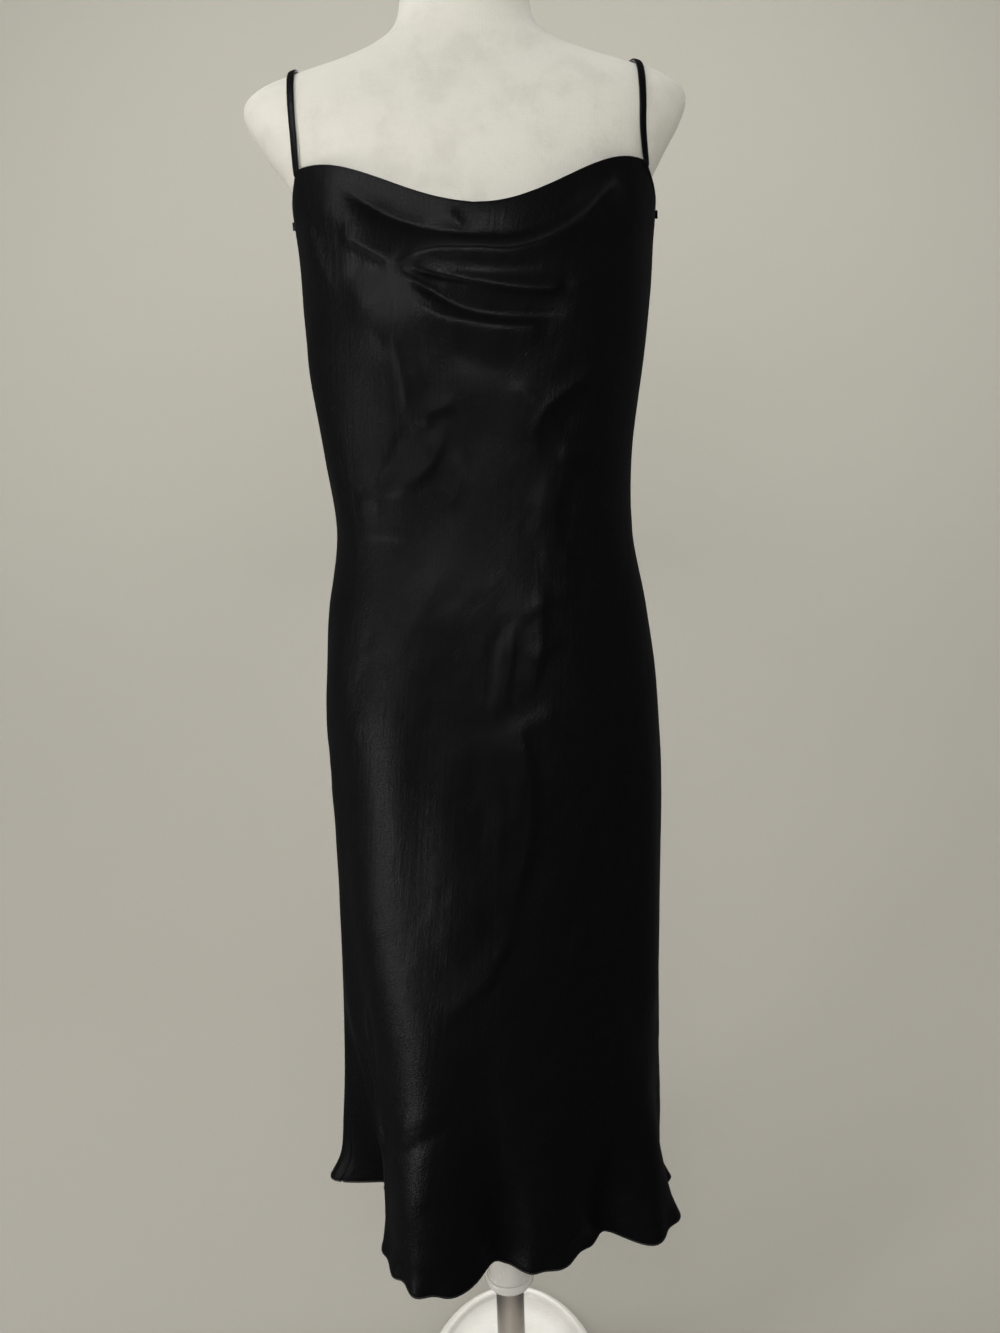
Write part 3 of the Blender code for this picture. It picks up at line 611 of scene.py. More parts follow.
def smooth_column(places: Array, values: Array, at: Array) -> Array:
    """Read a smooth curve through a table's column.

    Args:
        places: the key column, rising.
        values: the column that is read.
        at: where it is read.

    Returns:
        The values there.
    """
    last = len(places) - 1
    at = np.clip(at, places[0], places[-1])
    i = np.clip(np.searchsorted(places, at, side="right") - 1, 0, last - 1)
    low = np.maximum(np.arange(last + 1) - 1, 0)
    high = np.minimum(np.arange(last + 1) + 1, last)
    slope = (values[high] - values[low]) / (places[high] - places[low])
    span = places[i + 1] - places[i]
    share = (at - places[i]) / span
    square, cube = share ** 2, share ** 3
    bend = (2 * cube - 3 * square + 1) * values[i] + (3 * square - 2 * cube) * values[i + 1]
    lean = (cube - 2 * square + share) * slope[i] + (cube - square) * slope[i + 1]
    return bend + lean * span


def unit(vectors: Array) -> Array:
    """Vectors of length 1 along the last axis."""
    return vectors / np.maximum(np.linalg.norm(vectors, axis=-1, keepdims=True), 1e-12)


def spaced(length: float, steps: Sequence[tuple[float, float]]) -> Array:
    """Shares from 0 to 1 whose spacing follows a table.

    Args:
        length: the real length that the shares cover.
        steps: (share, spacing) pairs in order; the spacing holds from that share on.

    Returns:
        The shares.
    """
    fine = np.linspace(0.0, 1.0, 4001)
    starts = [share for share, _ in steps]
    spacing = np.array([steps[np.searchsorted(starts, s, side="right") - 1][1] for s in fine[:-1]])
    spacing = np.convolve(np.pad(spacing, 60, mode="edge"), np.ones(121) / 121, mode="valid")
    count = np.concatenate([[0.0], np.cumsum(np.diff(fine) * length / spacing)])
    return np.interp(np.linspace(0.0, count[-1], int(round(count[-1])) + 1), count, fine)


class Ovals:
    """A body given by its sections."""

    def __init__(self, rows: Sequence[Section]) -> None:
        """Keep the sections' columns as arrays."""
        self.heights = np.array([row.height for row in rows])
        self.columns = {name: np.array([getattr(row, name) for row in rows])
                        for name in ("left", "right", "front", "back", "power")}

    def sizes(self, height: Array) -> dict[str, Array]:
        """The sections' sizes at some heights."""
        return {name: smooth_column(self.heights, column, height)
                for name, column in self.columns.items()}

    def points(self, angle: Array, height: Array) -> tuple[Array, Array]:
        """Points of the body and their outward directions in plan.

        Args:
            angle: degrees round from the front middle, positive to the right.
            height: metres.

        Returns:
            Points and unit directions, with x, y and z along the last axis.
        """
        size = self.sizes(height)
        across, along = np.sin(np.radians(angle)), np.cos(np.radians(angle))
        half = np.where(across > 0, size["right"], size["left"])
        depth = np.where(along > 0, size["front"], size["back"])
        x = np.sign(across) * half * np.abs(across) ** (2 / size["power"])
        y = -np.sign(along) * depth * np.abs(along) ** (2 / size["power"])
        points = np.stack([x, y, height + 0.0 * x], axis=-1)
        outward = np.stack([x / half ** 2, y / depth ** 2, 0.0 * x], axis=-1)
        return points, unit(outward)

    def depth_outside(self, points: Array) -> Array:
        """Rough distance of points outside the body in plan, less than 0 inside."""
        size = self.sizes(points[..., 2])
        x, y = points[..., 0], points[..., 1]
        half = np.where(x > 0, size["right"], size["left"])
        depth = np.where(y < 0, size["front"], size["back"])
        power = size["power"]
        ratio = (np.abs(x / half) ** power + np.abs(y / depth) ** power) ** (1 / power)
        return (ratio - 1.0) * np.hypot(x, y) / np.maximum(ratio, 1e-6)


class Undulation:
    """Soft, uneven unevenness of the cloth: seeded values on a lattice, smoothly joined."""

    def __init__(self, seed: int, cell: tuple[float, float], turn: float) -> None:
        """Draw the lattice.

        Args:
            seed: of the random values.
            cell: the lattice's spacing along and across, in metres.
            turn: how far it is turned on the cloth, in degrees.
        """
        self.values = np.random.default_rng(seed).uniform(-1.0, 1.0, (128, 128))
        self.cell = cell
        self.turn = math.radians(turn)

    def at(self, across: Array, height: Array) -> Array:
        """The unevenness at places on the cloth, -1 to 1."""
        cosine, sine = math.cos(self.turn), math.sin(self.turn)
        u = (cosine * across + sine * height) / self.cell[0] + 64.0
        v = (cosine * height - sine * across) / self.cell[1] + 64.0
        i, j = np.floor(u).astype(int), np.floor(v).astype(int)
        s, t = eased(u - i), eased(v - j)
        corner = {(a, b): self.values[(i + a) % 128, (j + b) % 128] for a in (0, 1) for b in (0, 1)}
        low = corner[0, 0] * (1 - s) + corner[1, 0] * s
        high = corner[0, 1] * (1 - s) + corner[1, 1] * s
        return low * (1 - t) + high * t


# ------------------------------------------------------------------------------------- mesh helpers
def finished(name: str, shape: bmesh.types.BMesh, material: bpy.types.Material,
             sharp: float = 40.0) -> bpy.types.Object:
    """Turn a bmesh into a smooth-shaded object at the origin.

    Args:
        name: the object's name.
        shape: the bmesh, which is freed.
        material: its finish.
        sharp: edges that turn by more degrees than this stay sharp.

    Returns:
        The object, linked to the scene.
    """
    mesh = bpy.data.meshes.new(name)
    shape.to_mesh(mesh)
    shape.free()
    mesh.shade_smooth()
    mesh.set_sharp_from_angle(angle=math.radians(sharp))
    thing = bpy.data.objects.new(name, mesh)
    mesh.materials.append(material)
    bpy.context.scene.collection.objects.link(thing)
    return thing


def draped_grid(points: Array, chart: Array | None = None) -> bmesh.types.BMesh:
    """Lay a grid through rows and columns of points.

    Args:
        points: rows from the bottom up, columns left to right as seen from outside.
        chart: two numbers for each point, the place on the cloth in metres.

    Returns:
        The open sheet.
    """
    rows, columns = points.shape[:2]
    shape = bmesh.new()
    bmesh.ops.create_grid(shape, x_segments=columns - 1, y_segments=rows - 1, size=0.5)
    shape.verts.ensure_lookup_table()
    flat = points.reshape(-1, 3)
    for vertex, place in zip(shape.verts, flat):
        vertex.co = place
    if chart is not None:
        layer = shape.loops.layers.uv.new(CLOTH_CHART)
        places = chart.reshape(-1, 2)
        shape.verts.index_update()
        for face in shape.faces:
            for loop in face.loops:
                loop[layer].uv = places[loop.vert.index]
    return shape


def closed_roll(points: Array, chart: Array | None = None) -> bmesh.types.BMesh:
    """Lay a grid round a body whose first and last columns meet, and close its ends.

    Args:
        points: rows along the body, columns round it, the last column on the first.
        chart: the place on the cloth of each point, if it is cloth.

    Returns:
        The closed body, with its faces outwards.
    """
    shape = draped_grid(points, chart)
    bmesh.ops.remove_doubles(shape, verts=shape.verts, dist=1e-7)
    rim = [edge for edge in shape.edges if edge.is_boundary]
    bmesh.ops.holes_fill(shape, edges=rim, sides=0)
    bmesh.ops.recalc_face_normals(shape, faces=shape.faces)
    return shape


def turned(profile: Sequence[tuple[float, float]], steps: int = 96) -> bmesh.types.BMesh:
    """Spin a closed outline of (radius, height) points about the pole's axis.

    Args:
        profile: the outline's corners.
        steps: how many steps make a full turn.

    Returns:
        The turned body, with its faces outwards.
    """
    shape = bmesh.new()
    corners = [shape.verts.new((radius, 0.0, height)) for radius, height in profile]
    outline = [shape.edges.new((corner, corners[(i + 1) % len(corners)]))
               for i, corner in enumerate(corners)]
    bmesh.ops.spin(shape, geom=corners + outline, cent=(0.0, 0.0, 0.0), axis=(0.0, 0.0, 1.0),
                   angle=math.tau, steps=steps, use_merge=True)
    bmesh.ops.remove_doubles(shape, verts=shape.verts, dist=1e-6)
    bmesh.ops.recalc_face_normals(shape, faces=shape.faces)
    return shape


def softened(shape: bmesh.types.BMesh, width: float, over: float = 35.0) -> bmesh.types.BMesh:
    """Bevel the edges of a body that turn by more than an angle, in degrees."""
    hard = [edge for edge in shape.edges
            if edge.is_manifold and edge.calc_face_angle() > math.radians(over)]
    bmesh.ops.bevel(shape, geom=hard, offset=width, segments=3, profile=0.5, affect="EDGES",
                    material=-1, clamp_overlap=True)
    return shape


def tape(centres: Array, outward: Array, width: float, thick: float, sides: int = 14,
         squareness: float = 2.6, swell: Array | None = None) -> bmesh.types.BMesh:
    """Sweep a flattened, rounded tube along a line.

    Args:
        centres: points along the middle of the tape.
        outward: the direction that its flat face looks at each point.
        width: across the flat face.
        thick: through the tape.
        sides: points round the section.
        squareness: 2 for an oval section and more for a squarer one.
        swell: a factor on the section's size at each point.

    Returns:
        The closed tube, charted along its length and round it in metres.
    """
    ahead = unit(np.gradient(centres, axis=0))
    across = unit(np.cross(ahead, outward))
    lift = unit(np.cross(across, ahead))
    size = np.ones(len(centres)) if swell is None else swell
    run = np.concatenate([[0.0], np.cumsum(np.linalg.norm(np.diff(centres, axis=0), axis=1))])
    nose = 0.35 * width
    size = size * np.sqrt(np.clip(1.0 - (1.0 - np.minimum(run, run[-1] - run) / nose).clip(0.0) ** 2,
                                  0.02, 1.0))
    turn = np.linspace(0.0, math.tau, sides + 1)
    side = np.sign(np.cos(turn)) * np.abs(np.cos(turn)) ** (2 / squareness)
    rise = np.sign(np.sin(turn)) * np.abs(np.sin(turn)) ** (2 / squareness)
    rise[-1], side[-1] = rise[0], side[0]
    points = (centres[:, None] + size[:, None, None]
              * (across[:, None] * (0.5 * width * side)[None, :, None]
                 + lift[:, None] * (0.5 * thick * rise)[None, :, None]))
    around = turn / math.tau * 2.0 * (width + thick)
    chart = np.stack(np.broadcast_arrays(run[:, None], around[None, :]), axis=-1)
    return closed_roll(points, chart)


def dressed(thing: bpy.types.Object, body: Body, slot: str, *nodes: str) -> bpy.types.Object:
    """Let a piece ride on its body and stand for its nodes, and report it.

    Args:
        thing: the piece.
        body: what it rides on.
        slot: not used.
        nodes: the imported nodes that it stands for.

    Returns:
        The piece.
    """
    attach(thing, body.value)
    if nodes:
        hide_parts(*nodes)
    LOG.info("%s: %d faces on %s", thing.name, len(thing.data.polygons), body.value)
    return thing


# --------------------------------------------------------------------------------------- the dress
@dataclass
class SatinCloth:
    """The hanging cloth as one surface: sections, flutes, folds, creases and the ruffled hem."""

    hem: float = 0.305
    side_top: float = 1.323
    corner_top: float = 1.353
    corner_angle: float = 66.0
    cowl_dip: float = 1.309
    cowl_dip_angle: float = 2.0
    back_foot_top: float = 1.316
    back_foot_angle: float = 137.0
    back_dip: float = 1.292
    quarter: float = 0.2257          # from a panel's middle to its side seam, along the cloth
    clear: float = 0.0032            # of the form
    clear_blend: float = 0.0015
    mean_half: float = 0.158         # half width, depth and squareness of the mean section
    mean_depth: float = 0.122
    mean_power: float = 2.25
    ovals: Ovals = field(default_factory=lambda: Ovals(DRESS_SECTIONS))
    form: Ovals = field(default_factory=lambda: Ovals(FORM_SECTIONS))

    def __post_init__(self) -> None:
        """Measure a mean section, which turns distance along the cloth into an angle."""
        angles = np.linspace(0.0, 90.0, 901)
        x = self.mean_half * np.sin(np.radians(angles)) ** (2 / self.mean_power)
        y = self.mean_depth * np.cos(np.radians(angles)) ** (2 / self.mean_power)
        run = np.concatenate([[0.0], np.cumsum(np.hypot(np.diff(x), np.diff(y)))])
        self.chart_angles = angles
        self.chart_run = run / run[-1] * self.quarter

    def angle_at(self, across: Array) -> Array:
        """Degrees from a panel's middle at a distance along the cloth."""
        return np.sign(across) * np.interp(np.abs(across), self.chart_run, self.chart_angles)

    def top_edge(self, angle: Array) -> Array:
        """Height of the top edge at angles from the front middle."""
        angle = np.asarray(angle, float)
        turn = np.abs(angle)
        height = np.full(angle.shape, self.corner_top)
        x = self.ovals.points(angle, height)[0][..., 0]
        dip_x = self.ovals.points(np.array(self.cowl_dip_angle), np.array(self.corner_top))[0][0]
        corner = np.where(angle < 0, -self.corner_angle, self.corner_angle)
        corner_x = self.ovals.points(corner, height)[0][..., 0]
        share = np.clip((x - dip_x) / (corner_x - dip_x), 0.0, 1.0)
        cowl = self.cowl_dip + (self.corner_top - self.cowl_dip) * 0.5 * (1 - np.cos(math.pi * share))
        arm = np.clip((90.0 - turn) / (90.0 - self.corner_angle), 0.0, 1.0)
        underarm = self.side_top + (self.corner_top - self.side_top) * arm ** 1.7
        foot = eased((turn - 90.0) / (self.back_foot_angle - 90.0))
        behind = self.side_top + (self.back_foot_top - self.side_top) * foot
        middle = eased((turn - self.back_foot_angle) / (180.0 - self.back_foot_angle))
        back = self.back_foot_top + (self.back_dip - self.back_foot_top) * middle
        return np.select([turn <= self.corner_angle, turn <= 90.0, turn <= self.back_foot_angle],
                         [cowl, underarm, behind], back)

    def flute_out(self, angle: Array, height: Array) -> Array:
        """How far the skirt's flutes push the cloth out."""
        total = np.zeros(np.broadcast(angle, height).shape)
        for flute in FLUTES:
            turn = (angle - flute.angle + 180.0) % 360.0 - 180.0
            grown = eased((flute.top - height) / (flute.top - self.hem)) ** 1.3
            total += flute.out * grown * hump(turn, flute.half_width)
        return total

    @staticmethod
    def smooth_path(path: Sequence[tuple[float, float]], per_span: int = 7) -> Array:
        """A Catmull-Rom curve through a crease's points, in metres."""
        knots = np.array(path, float) * MM
        knots = np.vstack([2 * knots[0] - knots[1], knots, 2 * knots[-1] - knots[-2]])
        curve = []
        for k in range(1, len(knots) - 2):
            a, b, c, d = knots[k - 1:k + 3]
            for t in np.arange(per_span) / per_span:
                curve.append(0.5 * (2 * b + (c - a) * t + (2 * a - 5 * b + 4 * c - d) * t ** 2
                                    + (3 * b - a - 3 * c + d) * t ** 3))
        curve.append(knots[-2])
        return np.array(curve)

    def crease_relief(self, creases: Sequence[Crease], across: Array,
                      height: Array) -> tuple[Array, Array]:
        """How far the creases push the cloth out and let it hang down.

        Args:
            creases: the panel's creases.
            across: distances along the cloth from the panel's middle.
            height: heights above the floor.

        Returns:
            The push and the sag, in metres.
        """
        push = np.zeros(across.shape)
        sag = np.zeros(across.shape)
        spots = np.stack([across, height], axis=-1)
        for crease in creases:
            line = self.smooth_path(crease.path)
            reach = 3.2 * max(crease.left, crease.right) * MM
            low, high = line.min(axis=0) - reach, line.max(axis=0) + reach
            near = np.all((spots > low) & (spots < high), axis=-1)
            if not near.any():
                continue
            distance, side, place = self.measured(line, spots[near])
            width = np.where(side > 0, crease.left, crease.right) * MM
            grow = eased(place / crease.ends[0]) * eased((1.0 - place) / crease.ends[1])
            shape = grow * np.exp(-(distance / width) ** crease.edge)
            push[near] += crease.out * MM * shape
            sag[near] += crease.sag * MM * shape
        return push, sag

    @staticmethod
    def measured(line: Array, spots: Array) -> tuple[Array, Array, Array]:
        """Measure places on the cloth against a line.

        Args:
            line: the line's points.
            spots: the places.

        Returns:
            Distance from the line, side of it (positive on the left of its run) and share along it.
        """
        best = np.full(len(spots), np.inf)
        side = np.zeros(len(spots))
        place = np.zeros(len(spots))
        for k in range(len(line) - 1):
            run = line[k + 1] - line[k]
            away = spots - line[k]
            share = np.clip(away @ run / (run @ run), 0.0, 1.0)
            distance = np.linalg.norm(away - share[:, None] * run, axis=1)
            closer = distance < best
            best[closer] = distance[closer]
            side[closer] = np.sign(run[0] * away[:, 1] - run[1] * away[:, 0])[closer]
            place[closer] = ((k + share) / (len(line) - 1))[closer]
        return best, side, place

    def kept_clear(self, points: Array, outward: Array) -> Array:
        """Points pushed out where they would come too near the form, with a soft transition."""
        gap = self.form.depth_outside(points + np.array([0.0, 1.0, 0.0])
                                      * DressForm.bust_out(points)[..., None])
        short = self.clear - gap
        soft = self.clear_blend
        push = np.where(short > 6 * soft, short, soft * np.log1p(np.exp(np.minimum(short / soft, 6.0))))
        covered = points[..., 2] > FORM_SECTIONS[0].height - 0.01
        return points + outward * (push * covered)[..., None]


@dataclass
class Panel:
    """One cut piece of the dress, front or back, from side seam to side seam."""

    name: str
    node: str
    cloth: SatinCloth
    behind: bool                                  # the back panel, and not the front one
    creases: tuple[Crease, ...]
    ripples: tuple[Ripple, ...]
    columns: int
    row_steps: tuple[tuple[float, float], ...]    # (share of the way up, spacing of the rows)
    seed: int
    thick: float = 0.0005
    edge_radius: float = 0.0006
    tuck: float = 0.0075                          # turned-in allowance at the top edge
    seam_tuck: float = 0.0045                     # and at the side seams
    seam_gap: float = 0.00004
    drop: float = 1.04                            # of the cloth, that the rows are spaced over
    wave_depths: tuple[float, float, float] = (0.0016, 0.0008, 0.0005)
    roll_width: float = 0.0019                    # of the rolled hem
    roll_tall: float = 0.0021
    wrap_pitch: float = 0.0009
    wrap_swell: float = 0.13

    def angle(self, across: Array) -> Array:
        """Degrees from the front middle of places on the panel."""
        return (180.0 * self.behind + self.cloth.angle_at(across) + 180.0) % 360.0 - 180.0

    def surface(self, across: Array, height: Array) -> Array:
        """Points of the cloth's outer face.

        Args:
            across: distance along the cloth from the panel's middle.
            height: height above the floor, before the hem's drop and the folds' sag.

        Returns:
            The points.
        """
        cloth = self.cloth
        angle = self.angle(across)
        points, outward = cloth.ovals.points(angle, height)
        push, sag = cloth.crease_relief(self.creases, across, height)
        inner = eased((cloth.quarter - np.abs(across)) / 0.03)
        push = push * inner + cloth.flute_out(angle, height)
        push += inner * self.unevenness(across, height)
        flip, drop = self.ruffle(across, height)
        points = points + outward * (push + flip)[..., None]
        points[..., 2] -= sag * inner + drop
        return cloth.kept_clear(points, outward)

    def unevenness(self, across: Array, height: Array) -> Array:
        """Soft bias-wise buckling and small rumples all over."""
        long_waves = Undulation(self.seed, (0.052, 0.150), 16.0).at(across, height)
        bias_waves = Undulation(self.seed + 1, (0.030, 0.085), -38.0).at(across, height)
        rumples = Undulation(self.seed + 2, (0.011, 0.019), -30.0).at(across, height)
        patches = eased(Undulation(self.seed + 3, (0.07, 0.09), 20.0).at(across, height) * 1.6)
        long_depth, bias_depth, rumple_depth = self.wave_depths
        return long_depth * long_waves + bias_depth * bias_waves + rumple_depth * rumples * patches

    def ruffle(self, across: Array, height: Array) -> tuple[Array, Array]:
        """How far the hem flips out and drops."""
        above = np.maximum(height - self.cloth.hem, 0.0) / MM
        half_round = 2.0 * self.cloth.quarter / MM
        round_it = across / MM + half_round * self.behind
        flip = 1.5 * np.exp(-(above / 12.0) ** 1.5)
        drop = np.zeros(across.shape)
        for ripple in self.ripples:
            away = (round_it - ripple.round_it + half_round) % (2.0 * half_round) - half_round
            swell = hump(away, 1.9 * ripple.half_width) * np.exp(-(above / ripple.height) ** 1.5)
            flip += ripple.out * swell
            drop += ripple.drop * swell
        return flip * MM, drop * MM

    def outline(self) -> tuple[Array, Array]:
        """Grid of the visible face: distances along the cloth and heights, rows from the hem up."""
        edge = self.cloth.quarter - 0.5 * self.seam_gap - self.edge_radius
        across = np.linspace(-edge, edge, self.columns)
        top = self.cloth.top_edge(self.angle(across))
        shares = spaced(self.drop, self.row_steps)
        height = self.cloth.hem + shares[:, None] * (top - self.cloth.hem)[None, :]
        return np.broadcast_to(across, height.shape), height

    @staticmethod
    def folded(points: Array, length: float, radius: float, rows: int = 5) -> Array:
        """Rows that turn the sheet's last row over to the inside.

        Args:
            points: the sheet, with the edge as its last row.
            length: how far the allowance goes in.
            radius: of the turned edge.
            rows: how many rows lie flat inside.

        Returns:
            The new rows.
        """
        up = unit(points[-1] - points[-2])
        sideways = np.gradient(points[-1], axis=0)
        outward = unit(np.cross(sideways, up))
        up = unit(np.cross(outward, sideways))
        made = []
        for turn in np.linspace(0.0, math.pi, 6)[1:]:
            made.append(points[-1] + up * radius * math.sin(turn) - outward * radius * (1 - math.cos(turn)))
        for share in np.linspace(0.0, 1.0, rows)[1:]:
            made.append(points[-1] - outward * 2 * radius - up * length * share)
        return np.array(made)

    @staticmethod
    def turned_in(points: Array, length: float, radius: float) -> Array:
        """Columns that turn the sheet's last column straight in at a side seam."""
        sideways = unit(points[:, -1] - points[:, -2])
        up = np.gradient(points[:, -1], axis=0)
        outward = unit(np.cross(sideways, up))
        made = []
        for turn in np.linspace(0.0, 0.5 * math.pi, 4)[1:]:
            made.append(points[:, -1] + sideways * radius * math.sin(turn)
                        - outward * radius * (1 - math.cos(turn)))
        for share in (0.5, 1.0):
            made.append(points[:, -1] + sideways * radius - outward * (radius + length * share))
        return np.stack(made, axis=1)

    def build(self, finish: bpy.types.Material) -> bpy.types.Object:
        """Make the panel's shell with its turned edges."""
        across, height = self.outline()
        points = self.surface(across, height)
        for column, beside in ((0, 1), (-1, -2)):
            seam = self.surface(np.sign(across[:, column]) * self.cloth.quarter, height[:, column])
            inwards = unit(points[:, beside] - seam)
            points[:, column] = seam + inwards * (0.5 * self.seam_gap + self.edge_radius)
        self.hem_line = points[0].copy()
        chart = np.stack([across, height], axis=-1)
        top = self.folded(points, self.tuck, self.edge_radius)
        top_chart = np.repeat(chart[-1:], len(top), axis=0) + np.array([0.0, 1.0]) * (
            np.linspace(0.001, self.tuck, len(top))[:, None, None])
        points, chart = np.concatenate([points, top]), np.concatenate([chart, top_chart])
        right = self.turned_in(points, self.seam_tuck, self.edge_radius)
        left = self.turned_in(points[:, ::-1] * np.array([-1.0, 1.0, 1.0]), self.seam_tuck,
                              self.edge_radius)[:, ::-1] * np.array([-1.0, 1.0, 1.0])
        allowance = np.linspace(0.001, self.seam_tuck, right.shape[1])[None, :, None] * np.array([1.0, 0.0])
        chart = np.concatenate([chart[:, :1] - allowance[:, ::-1], chart, chart[:, -1:] + allowance],
                               axis=1)
        points = np.concatenate([left, points, right], axis=1)
        thing = finished(self.name, draped_grid(points, chart), finish, sharp=80.0)
        wall = thing.modifiers.new("cloth_wall", "SOLIDIFY")
        wall.thickness = self.thick
        wall.offset = -1.0
        wall.use_even_offset = False
        wall.use_rim = True
        return dressed(thing, Body.FORM, "satin", self.node)

    def rolled_hem(self, finish: bpy.types.Material) -> bpy.types.Object:
        """The overlocked roll along the ruffled hem, with its thread wraps as fine rings."""
        run = np.concatenate([[0.0], np.cumsum(np.linalg.norm(np.diff(self.hem_line, axis=0), axis=1))])
        stations = np.linspace(0.0, run[-1], int(run[-1] / self.wrap_pitch))
        centres = np.stack([np.interp(stations, run, self.hem_line[:, k]) for k in range(3)], axis=1)
        centres[:, 2] -= 0.0003
        outward = np.broadcast_to(np.array([0.0, 0.0, 1.0]), centres.shape)
        wraps = 1.0 + self.wrap_swell * np.where(np.arange(len(stations)) % 2, 1.0, -1.0)
        shape = tape(centres, outward, self.roll_width, self.roll_tall, sides=7, squareness=2.0,
                     swell=wraps)
        thing = finished(self.name + "_rolled_hem", shape, finish, sharp=70.0)
        return dressed(thing, Body.FORM, "satin")


@dataclass
class SlipDress:
    """The whole garment: two panels, the straps and the taped armholes."""

    satin: bpy.types.Material
    thread: bpy.types.Material
    cloth: SatinCloth = field(default_factory=SatinCloth)
    strap_width: float = 0.0066
    strap_thick: float = 0.0024
    tape_width: float = 0.0052
    tape_thick: float = 0.0022
    tape_sink: float = 0.0009                     # of the tape's middle below the cloth's face
    stitch_sink: float = 0.0010
    stitch_section: tuple[float, float] = (0.00022, 0.00020)
    shoulder: float = 1.345                       # height that the straps are swept about
    flat_front: tuple[float, float] = (0.66, 1.07)
    flat_back: tuple[float, float] = (0.64, 1.03)

    @staticmethod
    def all_ripples() -> tuple[Ripple, ...]:
        """Ruffles all round the hem: the back ones are of the same kind, unevenly spaced."""
        draw = np.random.default_rng(41)
        ripples = list(FRONT_RIPPLES)
        place, sign = 260.0, 1.0
        while place < 656.0:
            half = draw.uniform(9.0, 13.0)
            out = draw.uniform(5.0, 8.0) if sign > 0 else -draw.uniform(2.5, 4.5)
            ripples.append(Ripple(place, half, out, draw.uniform(0.0, 3.0) * (sign > 0)))
            place += half + draw.uniform(6.0, 10.0)
            sign = -sign
        return tuple(ripples)

    @classmethod
    def panels_for(cls, cloth: SatinCloth) -> tuple[Panel, Panel]:
        """The two cut pieces, front and back."""
        ripples = cls.all_ripples()
        front = Panel("satin_front", "front_panel", cloth, False,
                      COWL_CREASES + BODICE_CREASES + SKIRT_CREASES, ripples, 160,
                      ((0.0, 0.0022), (0.045, 0.0056), (0.66, 0.0030), (0.86, 0.0024)), seed=7)
        back = Panel("satin_back", "back_panel", cloth, True, BACK_CREASES, ripples, 132,
                     ((0.0, 0.0024), (0.045, 0.0062), (0.66, 0.0042), (0.88, 0.0034)), seed=23)
        return front, back

    def build(self, form: "DressForm") -> None:
        """Make every piece of the dress."""
        front, back = self.panels_for(self.cloth)
        panels = {panel.name: panel.build(self.satin) for panel in (front, back)}
        hems = {panel.name: panel.rolled_hem(self.thread) for panel in (front, back)}
        for side in Side:
            self.shoulder_strap(side, form)
            self.armhole_tape(side)
            self.bar_tacks(side)

    def edge_point(self, angle: float, above: float = 0.0, out: float = 0.0) -> Array:
        """Point over the top edge of the dress.

        Args:
            angle: degrees round from the front middle.
            above: height over the edge.
            out: distance outside the cloth.

        Returns:
            The point.
        """
        height = self.cloth.top_edge(np.array(angle)) + above
        point, outward = self.cloth.ovals.points(np.array(angle), height)
        return point + outward * out

    def armhole_tape(self, side: Side) -> bpy.types.Object:
        """The strap's tape where it binds the armhole edge, from the front corner to the back strap."""
        turns = np.linspace(self.cloth.corner_angle + 0.4, self.cloth.back_foot_angle + 0.2, 90)
        angles = side.value * turns
        height = self.cloth.top_edge(angles) - 0.5 * self.tape_width + 0.0010
        points, outward = self.cloth.ovals.points(angles, height)
        points = points - outward * self.tape_sink
        shape = tape(points, outward, self.tape_width, self.tape_thick, sides=16, squareness=3.0)
        thing = finished("satin_armhole_" + side.word, shape, self.satin, sharp=60.0)
        return dressed(thing, Body.FORM, "satin", "armhole_binding_" + side.word)

    def strap_line(self, side: Side, form: "DressForm") -> tuple[Array, Array]:
        """Centre line of a strap over the shoulder, and the way that its flat face looks.

        Args:
            side: which strap.
            form: the form that it lies on.

        Returns:
            Points and directions.
        """
        feet = [self.edge_point(side.value * (self.cloth.corner_angle + 1.0), -0.0030, 0.0004),
                self.edge_point(side.value * (self.cloth.back_foot_angle - 1.0), -0.0010, 0.0012)]
        starts = [math.atan2(foot[2] - self.shoulder, foot[1]) % math.tau for foot in feet]
        ends = [math.hypot(foot[1], foot[2] - self.shoulder) for foot in feet]
        if starts[1] > math.pi:
            starts[1] -= math.tau
        route = np.array(STRAP_ROUTES[side])
        centres, outward = [], []
        for turn in np.linspace(0.0, 1.0, 110):
            angle = starts[0] + (starts[1] - starts[0]) * turn
            ray = np.array([0.0, math.cos(angle), math.sin(angle)])
            foot, reach = (feet[0], ends[0]) if turn < 0.5 else (feet[1], ends[1])
            near = float(eased(1.0 - min(turn, 1.0 - turn) / 0.16))
            x = side.value * float(smooth_column(route[:, 0], route[:, 1], np.array(turn)))
            x += (foot[0] - x) * near
            centre = np.array([x, 0.0, self.shoulder])
            on_form = max(form.reach(centre + np.array([aside * self.strap_width, 0.0, 0.0]), ray)
                          for aside in (-0.5, 0.0, 0.5))
            lifted = on_form + 0.5 * self.strap_thick + 0.0004
            centres.append(centre + ray * max(lifted, lifted + (reach - lifted) * near))
            outward.append(form.facing(centre, ray))
        centres, outward = np.array(centres), np.array(outward)
        for _ in range(4):
            centres[1:-1] = 0.25 * (centres[:-2] + centres[2:]) + 0.5 * centres[1:-1]
            outward[1:-1] = unit(0.25 * (outward[:-2] + outward[2:]) + 0.5 * outward[1:-1])
        return centres, outward

